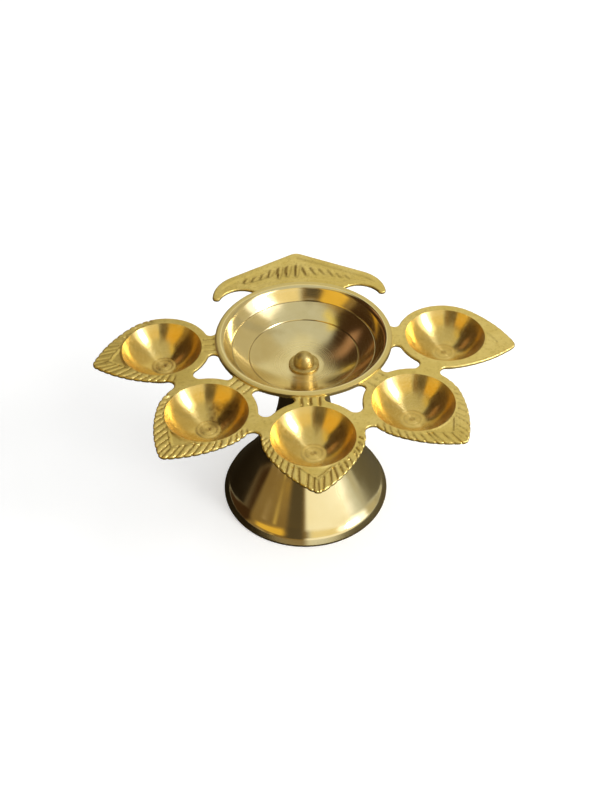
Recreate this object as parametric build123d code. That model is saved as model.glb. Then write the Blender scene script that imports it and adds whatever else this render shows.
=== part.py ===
from build123d import *
import os
from math import asin, atan2, cos, hypot, radians, sin, sqrt, tan

# Five-wick aarti lamp in brass. One cast plate carries a centre bowl, a fan of leaf-shaped wick cups and
# a winged crest. A stud through the floor of the bowl clamps the plate on a hollow bell pedestal.
# Millimetres, +Z up, origin at the centre of the foot. The middle leaf points to -Y, the crest to +Y.

# Centre bowl
RIM_HEIGHT = 79.0
RIM_RADIUS = 32.0
RIM_WIDTH = 2.8
RIM_THICKNESS = 1.8
BOWL_DEPTH = 14.0
BOWL_STEP_WIDTH = 3.2
BOWL_STEP_DEPTH = 4.7
BOWL_FLOOR_MARGIN = 1.4
BOWL_WALL = 2.0

# Leaves: a round back about each cup, and two side arcs that meet in a rounded tip
LEAF_COUNT = 5
LEAF_SPACING = 43.4
LEAF_GAP = 1.75
LEAF_RADIUS = 17.4
LEAF_LENGTH = 25.1
LEAF_SIDE_RADIUS = 46.0
LEAF_TIP_RADIUS = 2.8
LEAF_TURN = 6.5
LEAF_DROP = 0.6
PLATE_THICKNESS = 1.2
NECK_WIDTH = 10.4
WEB_WIDTH = 7.8

# Wick cups, one in each leaf
CUP_RADIUS = 14.3
CUP_DEPTH = 8.2
CUP_FLOOR_RADIUS = 4.5
CUP_WALL = 1.8

# Winged crest, by distances beyond the rim and by angles: the wing tip's from the crest's middle line,
# and the others back from the wing tip
CREST_RISE = 19.2
CREST_APEX_RADIUS = 4.2
CREST_SLOPE = 29.2
CREST_SHOULDER = 25.5
WING_TIP_ANGLE = 52.75
WING_TIP_RISE = 7.64
WING_SIDE_BACK = 0.7
WING_SIDE_LIFT = 1.89
WING_HEEL_BACK = 2.58
WING_HEEL_DROP = 0.84
WING_ARCH_BACK = 15.25
WING_ARCH_RISE = 5.4
WING_ROOT_BACK = 21.75

# Bell pedestal
FOOT_RADIUS = 32.8
FOOT_LIP = 0.8
BAND_HEIGHT = 3.6
BAND_TAPER = 1.4
BAND_STEP = 0.6
CONE_RUN = 20.3
NECK_RADIUS = 9.2
NECK_DROP = 7.0
SEAT_RADIUS = 11.5
SEAT_EDGE = 1.5
PEDESTAL_WALL = 2.2
PEDESTAL_TOP = 3.0

# Clamp through the floor of the bowl
STUD_RADIUS = 2.5
STUD_TAIL = 1.6
THREAD_CLEARANCE = 0.05
HOLE_CLEARANCE = 0.15
COLLAR_RADIUS = 5.6
COLLAR_THICKNESS = 1.0
COLLAR_ROUND = 0.4
DOME_RADIUS = 3.85
DOME_WALL = 0.35
DOME_BORE_DEPTH = 3.0
DOME_BORE_SPARE = 0.2
WASHER_RADIUS = 5.0
WASHER_THICKNESS = 1.0
SPRING_RADIUS = 4.6
SPRING_THICKNESS = 1.2
SPRING_SLIT = 0.8
NUT_FLATS = 8.0
NUT_HEIGHT = 4.0

# Heights and radii that follow from the sizes above
LEAF_TOP = RIM_HEIGHT - LEAF_DROP
STEP_HEIGHT = RIM_HEIGHT - BOWL_STEP_DEPTH
FLOOR_HEIGHT = RIM_HEIGHT - BOWL_DEPTH
SEAT_HEIGHT = FLOOR_HEIGHT - BOWL_WALL
NECK_HEIGHT = SEAT_HEIGHT - NECK_DROP
CEILING_HEIGHT = SEAT_HEIGHT - PEDESTAL_TOP
SPRING_TOP = CEILING_HEIGHT - WASHER_THICKNESS
NUT_TOP = SPRING_TOP - SPRING_THICKNESS
COLLAR_TOP = FLOOR_HEIGHT + COLLAR_THICKNESS
RIM_INNER = RIM_RADIUS - RIM_WIDTH
BOWL_STEP_RADIUS = RIM_INNER - BOWL_STEP_WIDTH
BOWL_FLOOR_RADIUS = COLLAR_RADIUS + BOWL_FLOOR_MARGIN
LEAF_DISTANCE = RIM_RADIUS + LEAF_GAP + LEAF_RADIUS
BAND_RADIUS = FOOT_RADIUS - BAND_TAPER
CONE_FOOT_RADIUS = BAND_RADIUS - BAND_STEP
BELL_WAIST = CONE_FOOT_RADIUS - NECK_RADIUS
BELL_CLIMB = NECK_HEIGHT - BAND_HEIGHT
FLARE_RADIUS = (BELL_WAIST ** 2 + BELL_CLIMB ** 2 - CONE_RUN ** 2) / (2 * BELL_WAIST)
HOLE_RADIUS = STUD_RADIUS + HOLE_CLEARANCE
BORE_RADIUS = STUD_RADIUS + THREAD_CLEARANCE
DOME_SKIRT = DOME_BORE_DEPTH - sqrt((DOME_RADIUS - DOME_WALL) ** 2 - BORE_RADIUS ** 2)
CUT_MARGIN = 2.0


def polar(radius, angle):
    """Point at a radius and an angle in degrees from +X."""
    return (radius * cos(radians(angle)), radius * sin(radians(angle)))


def arc_about(centre, start, end):
    """Shorter arc from start to end about a centre."""
    radius = hypot(start[0] - centre[0], start[1] - centre[1])
    aim = ((start[0] + end[0]) / 2 - centre[0], (start[1] + end[1]) / 2 - centre[1])
    stretch = radius / hypot(aim[0], aim[1])
    return ThreePointArc(start, (centre[0] + aim[0] * stretch, centre[1] + aim[1] * stretch), end)


def turned(edges):
    """Solid turned about the lamp's axis from a closed half profile of radius and height."""
    return revolve(Plane.XZ * make_face(edges), axis=Axis.Z)


def ball_height(upper, lower):
    """Height of the centre of the ball, on the axis, whose surface holds two profile points."""
    squares = upper[0] ** 2 - lower[0] ** 2 + upper[1] ** 2 - lower[1] ** 2
    return squares / (2 * (upper[1] - lower[1]))


def pushed_out(point, centre, wall):
    """Point moved away from a centre by a wall's thickness."""
    reach = hypot(point[0] - centre[0], point[1] - centre[1])
    stretch = (reach + wall) / reach
    return (centre[0] + (point[0] - centre[0]) * stretch, centre[1] + (point[1] - centre[1]) * stretch)


def on_ball(radius, centre, ball_radius):
    """Point at a radius on the lower half of a ball that is centred on the axis."""
    return (radius, centre[1] - sqrt(ball_radius ** 2 - radius ** 2))


def bowl_cavity():
    """Inside of the centre bowl: flat clamp seat, ball-shaped dish and a steeper band up to the rim."""
    step = (BOWL_STEP_RADIUS, STEP_HEIGHT)
    seat_edge = (BOWL_FLOOR_RADIUS, FLOOR_HEIGHT)
    centre = (0, ball_height(step, seat_edge))
    above = RIM_HEIGHT + CUT_MARGIN
    dish = arc_about(centre, seat_edge, step)
    walls = Polyline(step, (RIM_INNER, RIM_HEIGHT), (RIM_INNER, above), (0, above), (0, FLOOR_HEIGHT), seat_edge)
    return turned(dish + walls)


def bowl_body():
    """Outside of the centre bowl, with the rim above and a flat boss that seats on the pedestal."""
    step = (BOWL_STEP_RADIUS, STEP_HEIGHT)
    seat_edge = (BOWL_FLOOR_RADIUS, FLOOR_HEIGHT)
    centre = (0, ball_height(step, seat_edge))
    outer_step = pushed_out(step, centre, BOWL_WALL)
    ball_radius = hypot(outer_step[0], outer_step[1] - centre[1])
    boss = on_ball(SEAT_RADIUS, centre, ball_radius)
    band_angle = atan2(BOWL_STEP_DEPTH, RIM_INNER - BOWL_STEP_RADIUS)
    ledge_height = RIM_HEIGHT - RIM_THICKNESS
    ledge_radius = RIM_INNER - RIM_THICKNESS / tan(band_angle) + BOWL_WALL / sin(band_angle)
    dish = arc_about(centre, boss, outer_step)
    walls = Polyline(
        outer_step,
        (ledge_radius, ledge_height),
        (RIM_RADIUS, ledge_height),
        (RIM_RADIUS, RIM_HEIGHT),
        (0, RIM_HEIGHT),
        (0, SEAT_HEIGHT),
        (SEAT_RADIUS, SEAT_HEIGHT),
        boss,
    )
    return turned(dish + walls)


def cup_pair():
    """Body and cavity of one wick cup about its own axis: a ball-shaped dish with a small flat floor."""
    lip = (CUP_RADIUS, LEAF_TOP)
    floor_edge = (CUP_FLOOR_RADIUS, LEAF_TOP - CUP_DEPTH)
    centre = (0, ball_height(lip, floor_edge))
    above = LEAF_TOP + CUT_MARGIN
    inside = arc_about(centre, floor_edge, lip)
    rim = Polyline(lip, (CUP_RADIUS, above), (0, above), (0, floor_edge[1]), floor_edge)
    cavity = turned(inside + rim)
    ball_radius = hypot(lip[0], lip[1] - centre[1]) + CUP_WALL
    base_height = floor_edge[1] - CUP_WALL
    base_edge = (sqrt(ball_radius ** 2 - (centre[1] - base_height) ** 2), base_height)
    outer_lip = (sqrt(ball_radius ** 2 - (centre[1] - LEAF_TOP) ** 2), LEAF_TOP)
    outside = arc_about(centre, base_edge, outer_lip)
    core = Polyline(outer_lip, (0, LEAF_TOP), (0, base_height), base_edge)
    return turned(outside + core), cavity


def leaf_shape():
    """Outline of one leaf about its cup's axis, with its tip on +X."""
    tip_centre = LEAF_LENGTH - LEAF_TIP_RADIUS
    back_reach = LEAF_SIDE_RADIUS - LEAF_RADIUS
    tip_reach = LEAF_SIDE_RADIUS - LEAF_TIP_RADIUS
    side_x = (tip_centre ** 2 + back_reach ** 2 - tip_reach ** 2) / (2 * tip_centre)
    side_y = sqrt(back_reach ** 2 - side_x ** 2)
    back = (-side_x * LEAF_RADIUS / back_reach, side_y * LEAF_RADIUS / back_reach)
    front_x = tip_centre + (tip_centre - side_x) * LEAF_TIP_RADIUS / tip_reach
    front = (front_x, side_y * LEAF_TIP_RADIUS / tip_reach)
    back_low = (back[0], -back[1])
    front_low = (front[0], -front[1])
    edges = [
        ThreePointArc(back, (-LEAF_RADIUS, 0), back_low),
        arc_about((side_x, side_y), back_low, front_low),
        ThreePointArc(front_low, (LEAF_LENGTH, 0), front),
        arc_about((side_x, -side_y), front, back),
    ]
    return make_face(edges)


def bridge(radius_a, radius_b, distance, width):
    """Strip that joins two discs on the X axis, with side arcs that are tangent to both discs.

    There is none where the discs already run into each other over more than its width.
    """
    half = width / 2
    square_a = radius_a ** 2 - half ** 2
    square_b = radius_b ** 2 - half ** 2
    share = (radius_b - half) / (radius_a - half)
    total = distance ** 2 - square_b + share * square_a
    along = total / (distance + sqrt(distance ** 2 - (1 - share) * total))
    fillet = (along ** 2 - square_a) / (2 * (radius_a - half))
    if fillet <= 0:
        return None
    centre = (along, half + fillet)
    reach_a = radius_a + fillet
    reach_b = radius_b + fillet
    on_a = (centre[0] * radius_a / reach_a, centre[1] * radius_a / reach_a)
    on_b = (distance + (centre[0] - distance) * radius_b / reach_b, centre[1] * radius_b / reach_b)
    low_a = (on_a[0], -on_a[1])
    low_b = (on_b[0], -on_b[1])
    edges = [
        arc_about(centre, on_a, on_b),
        Line(on_b, low_b),
        arc_about((centre[0], -centre[1]), low_b, low_a),
        Line(low_a, on_a),
    ]
    return make_face(edges)


def crest_shape():
    """Outline of the crest: a low gable with a rounded apex, drooping wings and an arch under each wing."""
    def wing(back, rise):
        return polar(RIM_RADIUS + rise, 90 - WING_TIP_ANGLE + back)

    slope = radians(CREST_SLOPE)
    reach = RIM_RADIUS + CREST_RISE
    apex = (0, reach)
    apex_end = (CREST_APEX_RADIUS * sin(slope), reach - CREST_APEX_RADIUS * (1 - cos(slope)))
    shoulder = (CREST_SHOULDER, apex_end[1] - (CREST_SHOULDER - apex_end[0]) * tan(slope))
    side = wing(WING_SIDE_BACK, WING_TIP_RISE + WING_SIDE_LIFT)
    tip = wing(0, WING_TIP_RISE)
    heel = wing(WING_HEEL_BACK, WING_TIP_RISE - WING_HEEL_DROP)
    arch = wing(WING_ARCH_BACK, WING_ARCH_RISE)
    root = wing(WING_ROOT_BACK, 0)
    inside = (0, RIM_INNER)
    edges = [
        arc_about((0, reach - CREST_APEX_RADIUS), apex, apex_end),
        Line(apex_end, shoulder),
        TangentArc(shoulder, side, tangent=(cos(slope), -sin(slope))),
        ThreePointArc(side, tip, heel),
        ThreePointArc(heel, arch, root),
        Polyline(root, inside, apex),
    ]
    half = make_face(edges)
    return half + mirror(half, about=Plane.YZ)


def leaf_headings():
    """Direction of each leaf, and how far its tip turns about its cup towards the front."""
    middle = (LEAF_COUNT - 1) / 2
    return [(-90 + (i - middle) * LEAF_SPACING, (middle - i) * LEAF_TURN) for i in range(LEAF_COUNT)]


def plate_outline():
    """Plan of the casting: rim disc, leaves, necks from rim to leaf, webs from leaf to leaf, crest."""
    outline = Sketch() + Circle(RIM_RADIUS)
    leaf = leaf_shape()
    neck = bridge(RIM_RADIUS, LEAF_RADIUS, LEAF_DISTANCE, NECK_WIDTH)
    gap = 2 * LEAF_DISTANCE * sin(radians(LEAF_SPACING / 2))
    web = bridge(LEAF_RADIUS, LEAF_RADIUS, gap, WEB_WIDTH)
    headings = leaf_headings()
    for heading, turn in headings:
        outline += Rot(0, 0, heading) * Pos(LEAF_DISTANCE, 0) * Rot(0, 0, turn) * leaf
        if neck:
            outline += Rot(0, 0, heading) * neck
    for heading, turn in headings[:-1]:
        if web:
            across = 90 + LEAF_SPACING / 2
            outline += Rot(0, 0, heading) * Pos(LEAF_DISTANCE, 0) * Rot(0, 0, across) * web
    return outline + crest_shape()


def leaf_plate():
    """The casting: leaves and crest as one thin plate, with the bowl and the cups sunk into it."""
    body = Pos(0, 0, LEAF_TOP - PLATE_THICKNESS) * extrude(plate_outline(), PLATE_THICKNESS)
    body += bowl_body()
    cup_body, cup_cavity = cup_pair()
    places = [Rot(0, 0, heading) * Pos(LEAF_DISTANCE, 0) for heading, turn in leaf_headings()]
    for place in places:
        body += place * cup_body
    for place in places:
        body -= place * cup_cavity
    body -= bowl_cavity()
    stud_hole = Cylinder(HOLE_RADIUS, BOWL_WALL + 2 * CUT_MARGIN)
    return body - Pos(0, 0, SEAT_HEIGHT + BOWL_WALL / 2) * stud_hole


def bell_flank(wall):
    """Cone and neck of the bell, moved inwards by a wall: foot of the cone, its tangent arc and the neck."""
    centre = (NECK_RADIUS + FLARE_RADIUS, NECK_HEIGHT)
    start = (CONE_FOOT_RADIUS, BAND_HEIGHT)
    reach = hypot(CONE_RUN, FLARE_RADIUS)
    heading = atan2(centre[1] - start[1], centre[0] - start[0]) + asin(FLARE_RADIUS / reach)
    touch = (start[0] + CONE_RUN * cos(heading), start[1] + CONE_RUN * sin(heading))
    normal = ((touch[0] - centre[0]) / FLARE_RADIUS, (touch[1] - centre[1]) / FLARE_RADIUS)
    inner_touch = (touch[0] + normal[0] * wall, touch[1] + normal[1] * wall)
    neck = (NECK_RADIUS - wall, NECK_HEIGHT)
    cone_slope = cos(heading) / sin(heading)
    return inner_touch, neck, centre, cone_slope


def pedestal():
    """Hollow bell: foot lip and band, cone that sweeps into the neck, flared seat with the stud's hole."""
    touch, neck, centre, slope = bell_flank(0)
    cone_foot = (CONE_FOOT_RADIUS, BAND_HEIGHT)
    seat_foot = (SEAT_RADIUS, SEAT_HEIGHT - SEAT_EDGE)
    flank = [
        Polyline((0, 0), (FOOT_RADIUS, 0), (FOOT_RADIUS, FOOT_LIP), (BAND_RADIUS, BAND_HEIGHT), cone_foot, touch),
        arc_about(centre, touch, neck),
        TangentArc(neck, seat_foot, tangent=(0, 1)),
        Polyline(seat_foot, (SEAT_RADIUS, SEAT_HEIGHT), (0, SEAT_HEIGHT), (0, 0)),
    ]
    inner_touch, inner_neck, centre, slope = bell_flank(PEDESTAL_WALL)
    mouth = (inner_touch[0] - inner_touch[1] * slope, 0)
    hollow = [
        Polyline((0, 0), mouth, inner_touch),
        arc_about(centre, inner_touch, inner_neck),
        Polyline(inner_neck, (inner_neck[0], CEILING_HEIGHT), (0, CEILING_HEIGHT), (0, 0)),
    ]
    stud_hole = Cylinder(HOLE_RADIUS, PEDESTAL_TOP + 2 * CUT_MARGIN)
    return turned(flank) - turned(hollow) - Pos(0, 0, SEAT_HEIGHT - PEDESTAL_TOP / 2) * stud_hole


def standing(shape, base_height):
    """Solid that is centred on the origin, stood on a height."""
    return Pos(0, 0, base_height - shape.bounding_box().min.Z) * shape


def clamp_stud():
    """Threaded stud from below the hex nut up into the dome nut."""
    low = NUT_TOP - NUT_HEIGHT - STUD_TAIL
    high = COLLAR_TOP + DOME_BORE_DEPTH - DOME_BORE_SPARE
    return standing(Cylinder(STUD_RADIUS, high - low), low)


def ring(radius, bore, thickness):
    """Flat ring."""
    return Cylinder(radius, thickness) - Cylinder(bore, thickness)


def bowl_washer():
    """Collar between the bowl's floor and the dome nut, with a rounded upper edge."""
    collar = standing(ring(COLLAR_RADIUS, HOLE_RADIUS, COLLAR_THICKNESS), FLOOR_HEIGHT)
    rim = collar.edges().filter_by(GeomType.CIRCLE).group_by(Axis.Z)[-1].sort_by(SortBy.RADIUS)[-1]
    return fillet(rim, COLLAR_ROUND)


def dome_nut():
    """Blind nut with a short skirt and a half-ball top."""
    top = (0, COLLAR_TOP + DOME_SKIRT + DOME_RADIUS)
    shoulder = (DOME_RADIUS, COLLAR_TOP + DOME_SKIRT)
    dome = [
        Polyline(top, (0, COLLAR_TOP), (DOME_RADIUS, COLLAR_TOP), shoulder),
        arc_about((0, shoulder[1]), shoulder, top),
    ]
    return turned(dome) - standing(Cylinder(BORE_RADIUS, DOME_BORE_DEPTH), COLLAR_TOP)


def plain_washer():
    """Washer under the pedestal's ceiling."""
    return standing(ring(WASHER_RADIUS, HOLE_RADIUS, WASHER_THICKNESS), SPRING_TOP)


def spring_washer():
    """Split ring, clamped flat."""
    slit = Pos(SPRING_RADIUS / 2, 0) * Box(SPRING_RADIUS + CUT_MARGIN, SPRING_SLIT, SPRING_THICKNESS)
    return standing(ring(SPRING_RADIUS, HOLE_RADIUS, SPRING_THICKNESS) - slit, NUT_TOP)


def hex_nut():
    """Hex nut on the lower end of the stud."""
    corner_radius = NUT_FLATS / 2 / cos(radians(30))
    prism = extrude(RegularPolygon(corner_radius, 6) - Circle(BORE_RADIUS), NUT_HEIGHT)
    return standing(prism, NUT_TOP - NUT_HEIGHT)


os.makedirs("parts", exist_ok=True)
for piece in (leaf_plate, pedestal, clamp_stud, bowl_washer, dome_nut, plain_washer, spring_washer, hex_nut):
    export_step(piece(), f"parts/{piece.__name__}.step")
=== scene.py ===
"""Looks of a five-wick brass aarti lamp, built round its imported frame.

One casting carries the polished bowl, the turned wick cups, the fluted leaves and the winged crest. A spun
bell holds it up, and a stud with a dome nut clamps the two through the floor of the bowl.
Sizes are in millimetres in the lamp's own frame, angles in degrees, and meshes are written in metres.
"""
from math import asin, atan2, ceil, cos, degrees, hypot, pi, radians, sin, sqrt, tan

import bpy
import numpy as np
from mathutils import Matrix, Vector
from mathutils.geometry import delaunay_2d_cdt
from mathutils.kdtree import KDTree


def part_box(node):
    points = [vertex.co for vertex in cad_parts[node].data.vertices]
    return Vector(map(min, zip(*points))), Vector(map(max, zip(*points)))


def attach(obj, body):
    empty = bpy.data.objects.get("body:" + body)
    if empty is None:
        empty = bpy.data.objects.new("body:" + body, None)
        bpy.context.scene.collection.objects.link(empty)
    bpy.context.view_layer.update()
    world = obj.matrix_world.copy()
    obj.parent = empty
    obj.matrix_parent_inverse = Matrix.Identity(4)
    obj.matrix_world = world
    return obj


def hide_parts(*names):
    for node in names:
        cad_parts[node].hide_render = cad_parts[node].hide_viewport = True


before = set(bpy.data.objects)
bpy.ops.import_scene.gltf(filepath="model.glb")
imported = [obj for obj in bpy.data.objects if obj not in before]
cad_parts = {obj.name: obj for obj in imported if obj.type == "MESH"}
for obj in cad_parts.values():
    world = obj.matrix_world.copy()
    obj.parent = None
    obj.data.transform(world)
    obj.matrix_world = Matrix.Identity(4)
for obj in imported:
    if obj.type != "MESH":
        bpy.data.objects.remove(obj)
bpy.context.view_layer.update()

MM = 0.001

# Where the middle of a softened corner lies, as a share of its size
CORNER_SHARE = 0.3


def node_box(node):
    """Lowest and highest corner of a frame node, in millimetres."""
    low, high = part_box(node)
    return [value / MM for value in low], [value / MM for value in high]


# Heights and radii that the frame gives
plate_low, plate_high = node_box("leaf_plate")
bell_high = node_box("pedestal")[1]
washer_low, washer_high = node_box("bowl_washer")
dome_low, dome_high = node_box("dome_nut")
stud_low, stud_high = node_box("clamp_stud")
RIM_TOP = plate_high[2]
SEAT_HEIGHT = plate_low[2]
SEAT_CLEARANCE = 0.02
FOOT_RADIUS = bell_high[0]

# Bowl
RIM_RADIUS = 32.0
RIM_WIDTH = 2.8
RIM_THICKNESS = 1.8
RIM_SHOULDER = 1.1
RIM_SOFT = 0.3
RIM_LIP_DROP = 0.5
BOWL_WALL = 2.0
BOWL_STEP_WIDTH = 3.2
BOWL_STEP_DEPTH = 4.7
BAND_BOW = 0.24
BOWL_FLOOR_RADIUS = 7.0
BOWL_FLOOR_EASE = 1.5
SCRIBED_RADIUS = 20.0
SCRIBE_WIDTH = 0.34
SCRIBE_DEPTH = 0.16
SCRIBE_MARGIN = 0.2
SEAT_RADIUS = 11.5
SEAT_SOFT = 0.3
HOLE_RADIUS = 2.65
RIM_INNER = RIM_RADIUS - RIM_WIDTH
BOWL_STEP_RADIUS = RIM_INNER - BOWL_STEP_WIDTH
STEP_HEIGHT = RIM_TOP - BOWL_STEP_DEPTH
FLOOR_HEIGHT = SEAT_HEIGHT + BOWL_WALL

# Leaves, necks and webs
LEAF_SPACING = 43.4
LEAF_GAP = 1.75
LEAF_RADIUS = 17.4
LEAF_SIDE_RADIUS = 46.0
LEAF_TIP_RADIUS = 2.8
LEAF_TURN = 6.5
LEAF_DROP = 0.6
PLATE_THICKNESS = 1.2
NECK_WIDTH = 10.4
WEB_WIDTH = 7.8
LEAF_DISTANCE = RIM_RADIUS + LEAF_GAP + LEAF_RADIUS
LEAF_LENGTH = -plate_low[1] - LEAF_DISTANCE
LEAF_TOP = RIM_TOP - LEAF_DROP
PLATE_BOTTOM = LEAF_TOP - PLATE_THICKNESS
LEAF_HEADINGS = [-90 + k * LEAF_SPACING for k in (-2, -1, 0, 1, 2)]
LEAF_TURNS = [-k * LEAF_TURN for k in (-2, -1, 0, 1, 2)]

# Wick cups
CUP_RADIUS = 14.3
CUP_DEPTH = 8.2
CUP_FLOOR_RADIUS = 4.5
CUP_WALL = 1.8
CUP_RINGS = (4.3, 2.9)
CUP_RING_HALF = 0.28
CUP_RING_DEPTH = 0.07
CUP_DIMPLE = ((0.7, 0.02), (0.35, 0.1), (0, 0.14))
CUP_LIP_SOFT = 0.12
CUP_BASE_SOFT = 0.4
CUP_BASE_LIFT = 0.12
CUP_MEET_SOFT = 0.25
STAIN_OFFSET = (4.6, 5.6)
STAIN_DEPTH = 0.85

# Crest, by angles from its middle line and distances beyond the rim
CREST_RISE = plate_high[1] - RIM_RADIUS
CREST_APEX_RADIUS = 4.2
CREST_SLOPE = 29.2
CREST_SHOULDER = 25.5
WING_SIDE = (52.05, 9.53)
WING_TIP = (52.75, 7.64)
WING_HEEL = (50.17, 6.8)
WING_ARCH = (37.5, 5.4)
WING_ROOT = (31.0, 0.0)

# Flutes along the leaf borders; wear runs from 0, rubbed away, to 1, crisp, for the leaves in their order
FLUTE_SEED = 5
FLUTE_COUNT = 11
FLUTE_PITCH = 2.95
FLUTE_START = 1.9
FLUTE_LEAN = 36.0
FLUTE_SWAY = 6
FLUTE_SCATTER = 0.16
FLUTE_OVERRUN = 1.0
FLUTE_DEPTH = 0.5
FLUTE_REACH = 0.6
FLUTE_CUT = 0.42
FLUTE_CUT_RUN = 1.6
FLUTE_BACK = 9.0
FLUTE_FADE = 2
BAND_WIDTH = 5.0
BAND_EDGE = (-0.1, 0.5)
LEAF_WEAR = (0.8, 1.0, 0.9, 0.6, 0.16)

# Veins, sunk field and bead at the leaf tips, and the plain margin round the cups
VEIN_INSET = 4.7
VEIN_START = 3.0
VEIN_END = 16.0
VEIN_DEPTH = 0.34
VEIN_REACH = 0.6
FIELD_DEPTH = 0.4
FIELD_START = (9.5, 13.5)
FIELD_EASE = 0.9
WORN_FIELD = 0.45
BEAD_HEIGHT = 0.2
BEAD_WIDTH = 0.5
BEAD_INSET = 0.25
LIP_EDGE = 0.15
LIP_MARGIN = 0.7

# Reeds on the necks
REED_LIP_MARGIN = 0.8
REED_SPACING = 3.1
REED_DEPTH = 0.55
REED_REACH = 0.85
REED_SIDE_FADE = (-1.2, 0.3)
REED_RIM_FADE = (0.1, 0.8)
REED_WEAR = (0.75, 1.0, 1.0, 0.5, 0.15)

# Petals and panel of the crest; the jitter is in distance, lean and length
PETAL_RING = 39.4
PETAL_PITCH = 4.9
PETAL_COUNT = 6
PETAL_LEAN = 7.5
PETAL_LENGTH = 7.6
PETAL_SHRINK = 0.7
PETAL_HALF_WIDTH = 1.3
PETAL_HEIGHT = 0.4
PETAL_REACH = 1.3
PETAL_GROOVE = 0.26
PETAL_GROOVE_REACH = 0.95
PETAL_HOOK = 0.55
PETAL_JITTER = (0.6, 7.0, 0.18)
PETAL_SEED = 5
PETAL_FADE = (-4.0, 9.0)
PETAL_FADED = 0.55
PANEL_DEPTH = 0.28
PANEL_MARGIN = (2.2, 3.6)
PANEL_RIM_MARGIN = (2.0, 3.2)
PETAL_MARGIN = (1.4, 2.6)
PETAL_RIM_MARGIN = (1.2, 2.4)

# Edges of the casting, and how sharply the painted shade in its hollows darkens
HOLLOW_SHARPNESS = 1.6
EDGE_ROUND = 0.5
BORDER_SLIP = 0.3
UNDER_ROUND = 0.35

# Bell
BAND_TAPER = 1.4
BAND_HEIGHT = 3.6
BAND_STEP = 0.6
CREASE_RUN = 1.5
FOOT_LIP = 0.8
FOOT_SOFT = 0.3
FOOT_CORNER = 0.08
LIP_SOFT = 0.1
LIP_STEP = (0.12, 0.15)
CREASE_SOFT = (0.1, 0.25)
CONE_RUN = 20.3
NECK_RADIUS = 9.2
NECK_DROP = 7.0
SEAT_EDGE = 1.5
BELL_WALL = 2.2
BELL_TOP = 3.0
BELL_SEAT_SOFT = 0.25
CEILING_SOFT = 0.6
CONE_FOOT = (FOOT_RADIUS - BAND_TAPER - BAND_STEP, BAND_HEIGHT)
BELL_WAIST = CONE_FOOT[0] - NECK_RADIUS
BELL_CLIMB = SEAT_HEIGHT - NECK_DROP - BAND_HEIGHT
FLARE_RADIUS = (BELL_WAIST ** 2 + BELL_CLIMB ** 2 - CONE_RUN ** 2) / (2 * BELL_WAIST)

# Clamp
THREAD_CLEARANCE = 0.05
STUD_RIDGE = 0.36
STUD_PITCH = 0.8
DOME_BLIND_GAP = 0.2
DOME_BORE_CHAMFER = 0.25
DOME_SKIRT_SOFT = 0.2
HEX_CHAMFER = 0.45
HEX_FLAT_SHARE = 0.25
HEX_CHAMFER_BOW = 1.5
HEX_BORE_CHAMFER = 0.3
HEX_FACE_INSET = 0.25
COLLAR_SOFT = 0.4
PLAIN_WASHER_SOFT = 0.15
SPRING_WASHER_SOFT = 0.12
SPRING_SLIT = 0.8

# Mesh fineness
OUTLINE_STEP = 0.42
GRID_STEP = 0.4
EDGE_OFFSETS = (0.1, 0.3, 0.62)
EDGE_SPREAD = 0.8
GRID_SPREAD = 0.6
MERGE_GAP = 1e-6
RIM_SEGMENTS = 192
CUP_SEGMENTS = 80
BELL_SEGMENTS = 192
SMALL_SEGMENTS = 72
HEX_SEGMENTS = 120
SPRING_SEGMENTS = 80
SMOOTH_ANGLE = radians(38)

# Lathe coordinates: millimetres to one unit, a cup's wall, and short runs that close or flatten a ring
LATHE_UNIT = 40.0
CUP_WALL_RUN = 13.2 / LATHE_UNIT
CLOSING_RUN = 0.01
FLAT_RUN = 0.1

# Studio in metres, with the soft edge of its cards in degrees
STUDIO_CENTRE = (0.0, 0.0, 0.06)
FLOOR_SIZE = 4.0
CARD_STEPS = 10
CARD_FADE = 9.0

# Cards by name, azimuth, elevation, colour and distance
CARDS = (
    ("back sky card", (48, 122), (6, 86), (0.78, 0.74, 0.52), 0.98),
    ("cream right card", (-14, 66), (-4, 64), (0.54, 0.47, 0.28), 0.95),
    ("grey post", (6, 24), (-4, 76), (0.43, 0.39, 0.26), 0.84),
    ("window card", (-54, -4), (2, 62), (1.8, 1.74, 1.58), 0.86),
    ("yellow card", (-92, -42), (2, 58), (0.96, 0.8, 0.42), 0.9),
    ("low cream card", (-98, -28), (-6, 24), (1.15, 1.08, 0.86), 0.82),
    ("brown front card", (-200, -86), (-8, 62), (0.26, 0.17, 0.06), 0.96),
    ("dark left flag", (-262, -166), (-8, 66), (0.05, 0.024, 0.009), 0.92),
    ("red patch", (-250, -206), (30, 50), (0.42, 0.23, 0.12), 0.85),
    ("red streak", (-256, -216), (4, 16), (0.3, 0.14, 0.05), 0.86),
    ("yellow glow", (-204, -144), (56, 71), (0.86, 0.7, 0.2), 0.8),
    ("orange card", (-164, -118), (6, 60), (0.9, 0.56, 0.08), 0.29),
    ("gold strip", (-139, -130), (-10, 8), (0.7, 0.5, 0.14), 0.285),
    ("pale streak", (-156, -140), (-9, 0), (0.66, 0.5, 0.26), 0.28),
    ("front flag", (-123, -92), (-4, 50), (0.1, 0.075, 0.04), 0.27),
    ("front haze", (-119, -94), (46, 72), (0.38, 0.35, 0.26), 0.26),
)

# Camera at the photograph's viewing angle, with its place in metres
CAMERA_PLACE = (-0.0181, -0.33286, 0.35698)
CAMERA_YAW = radians(2.825)
CAMERA_PITCH = radians(-42.907)
CAMERA_ROLL = radians(-0.948)
CAMERA_LENS = 54.0
CAMERA_SENSOR = 36.0

# Finishes of the casting, in the order of its material slots
CAST, CUP, BOWL, RIM = range(4)


# Node sheets

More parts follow.
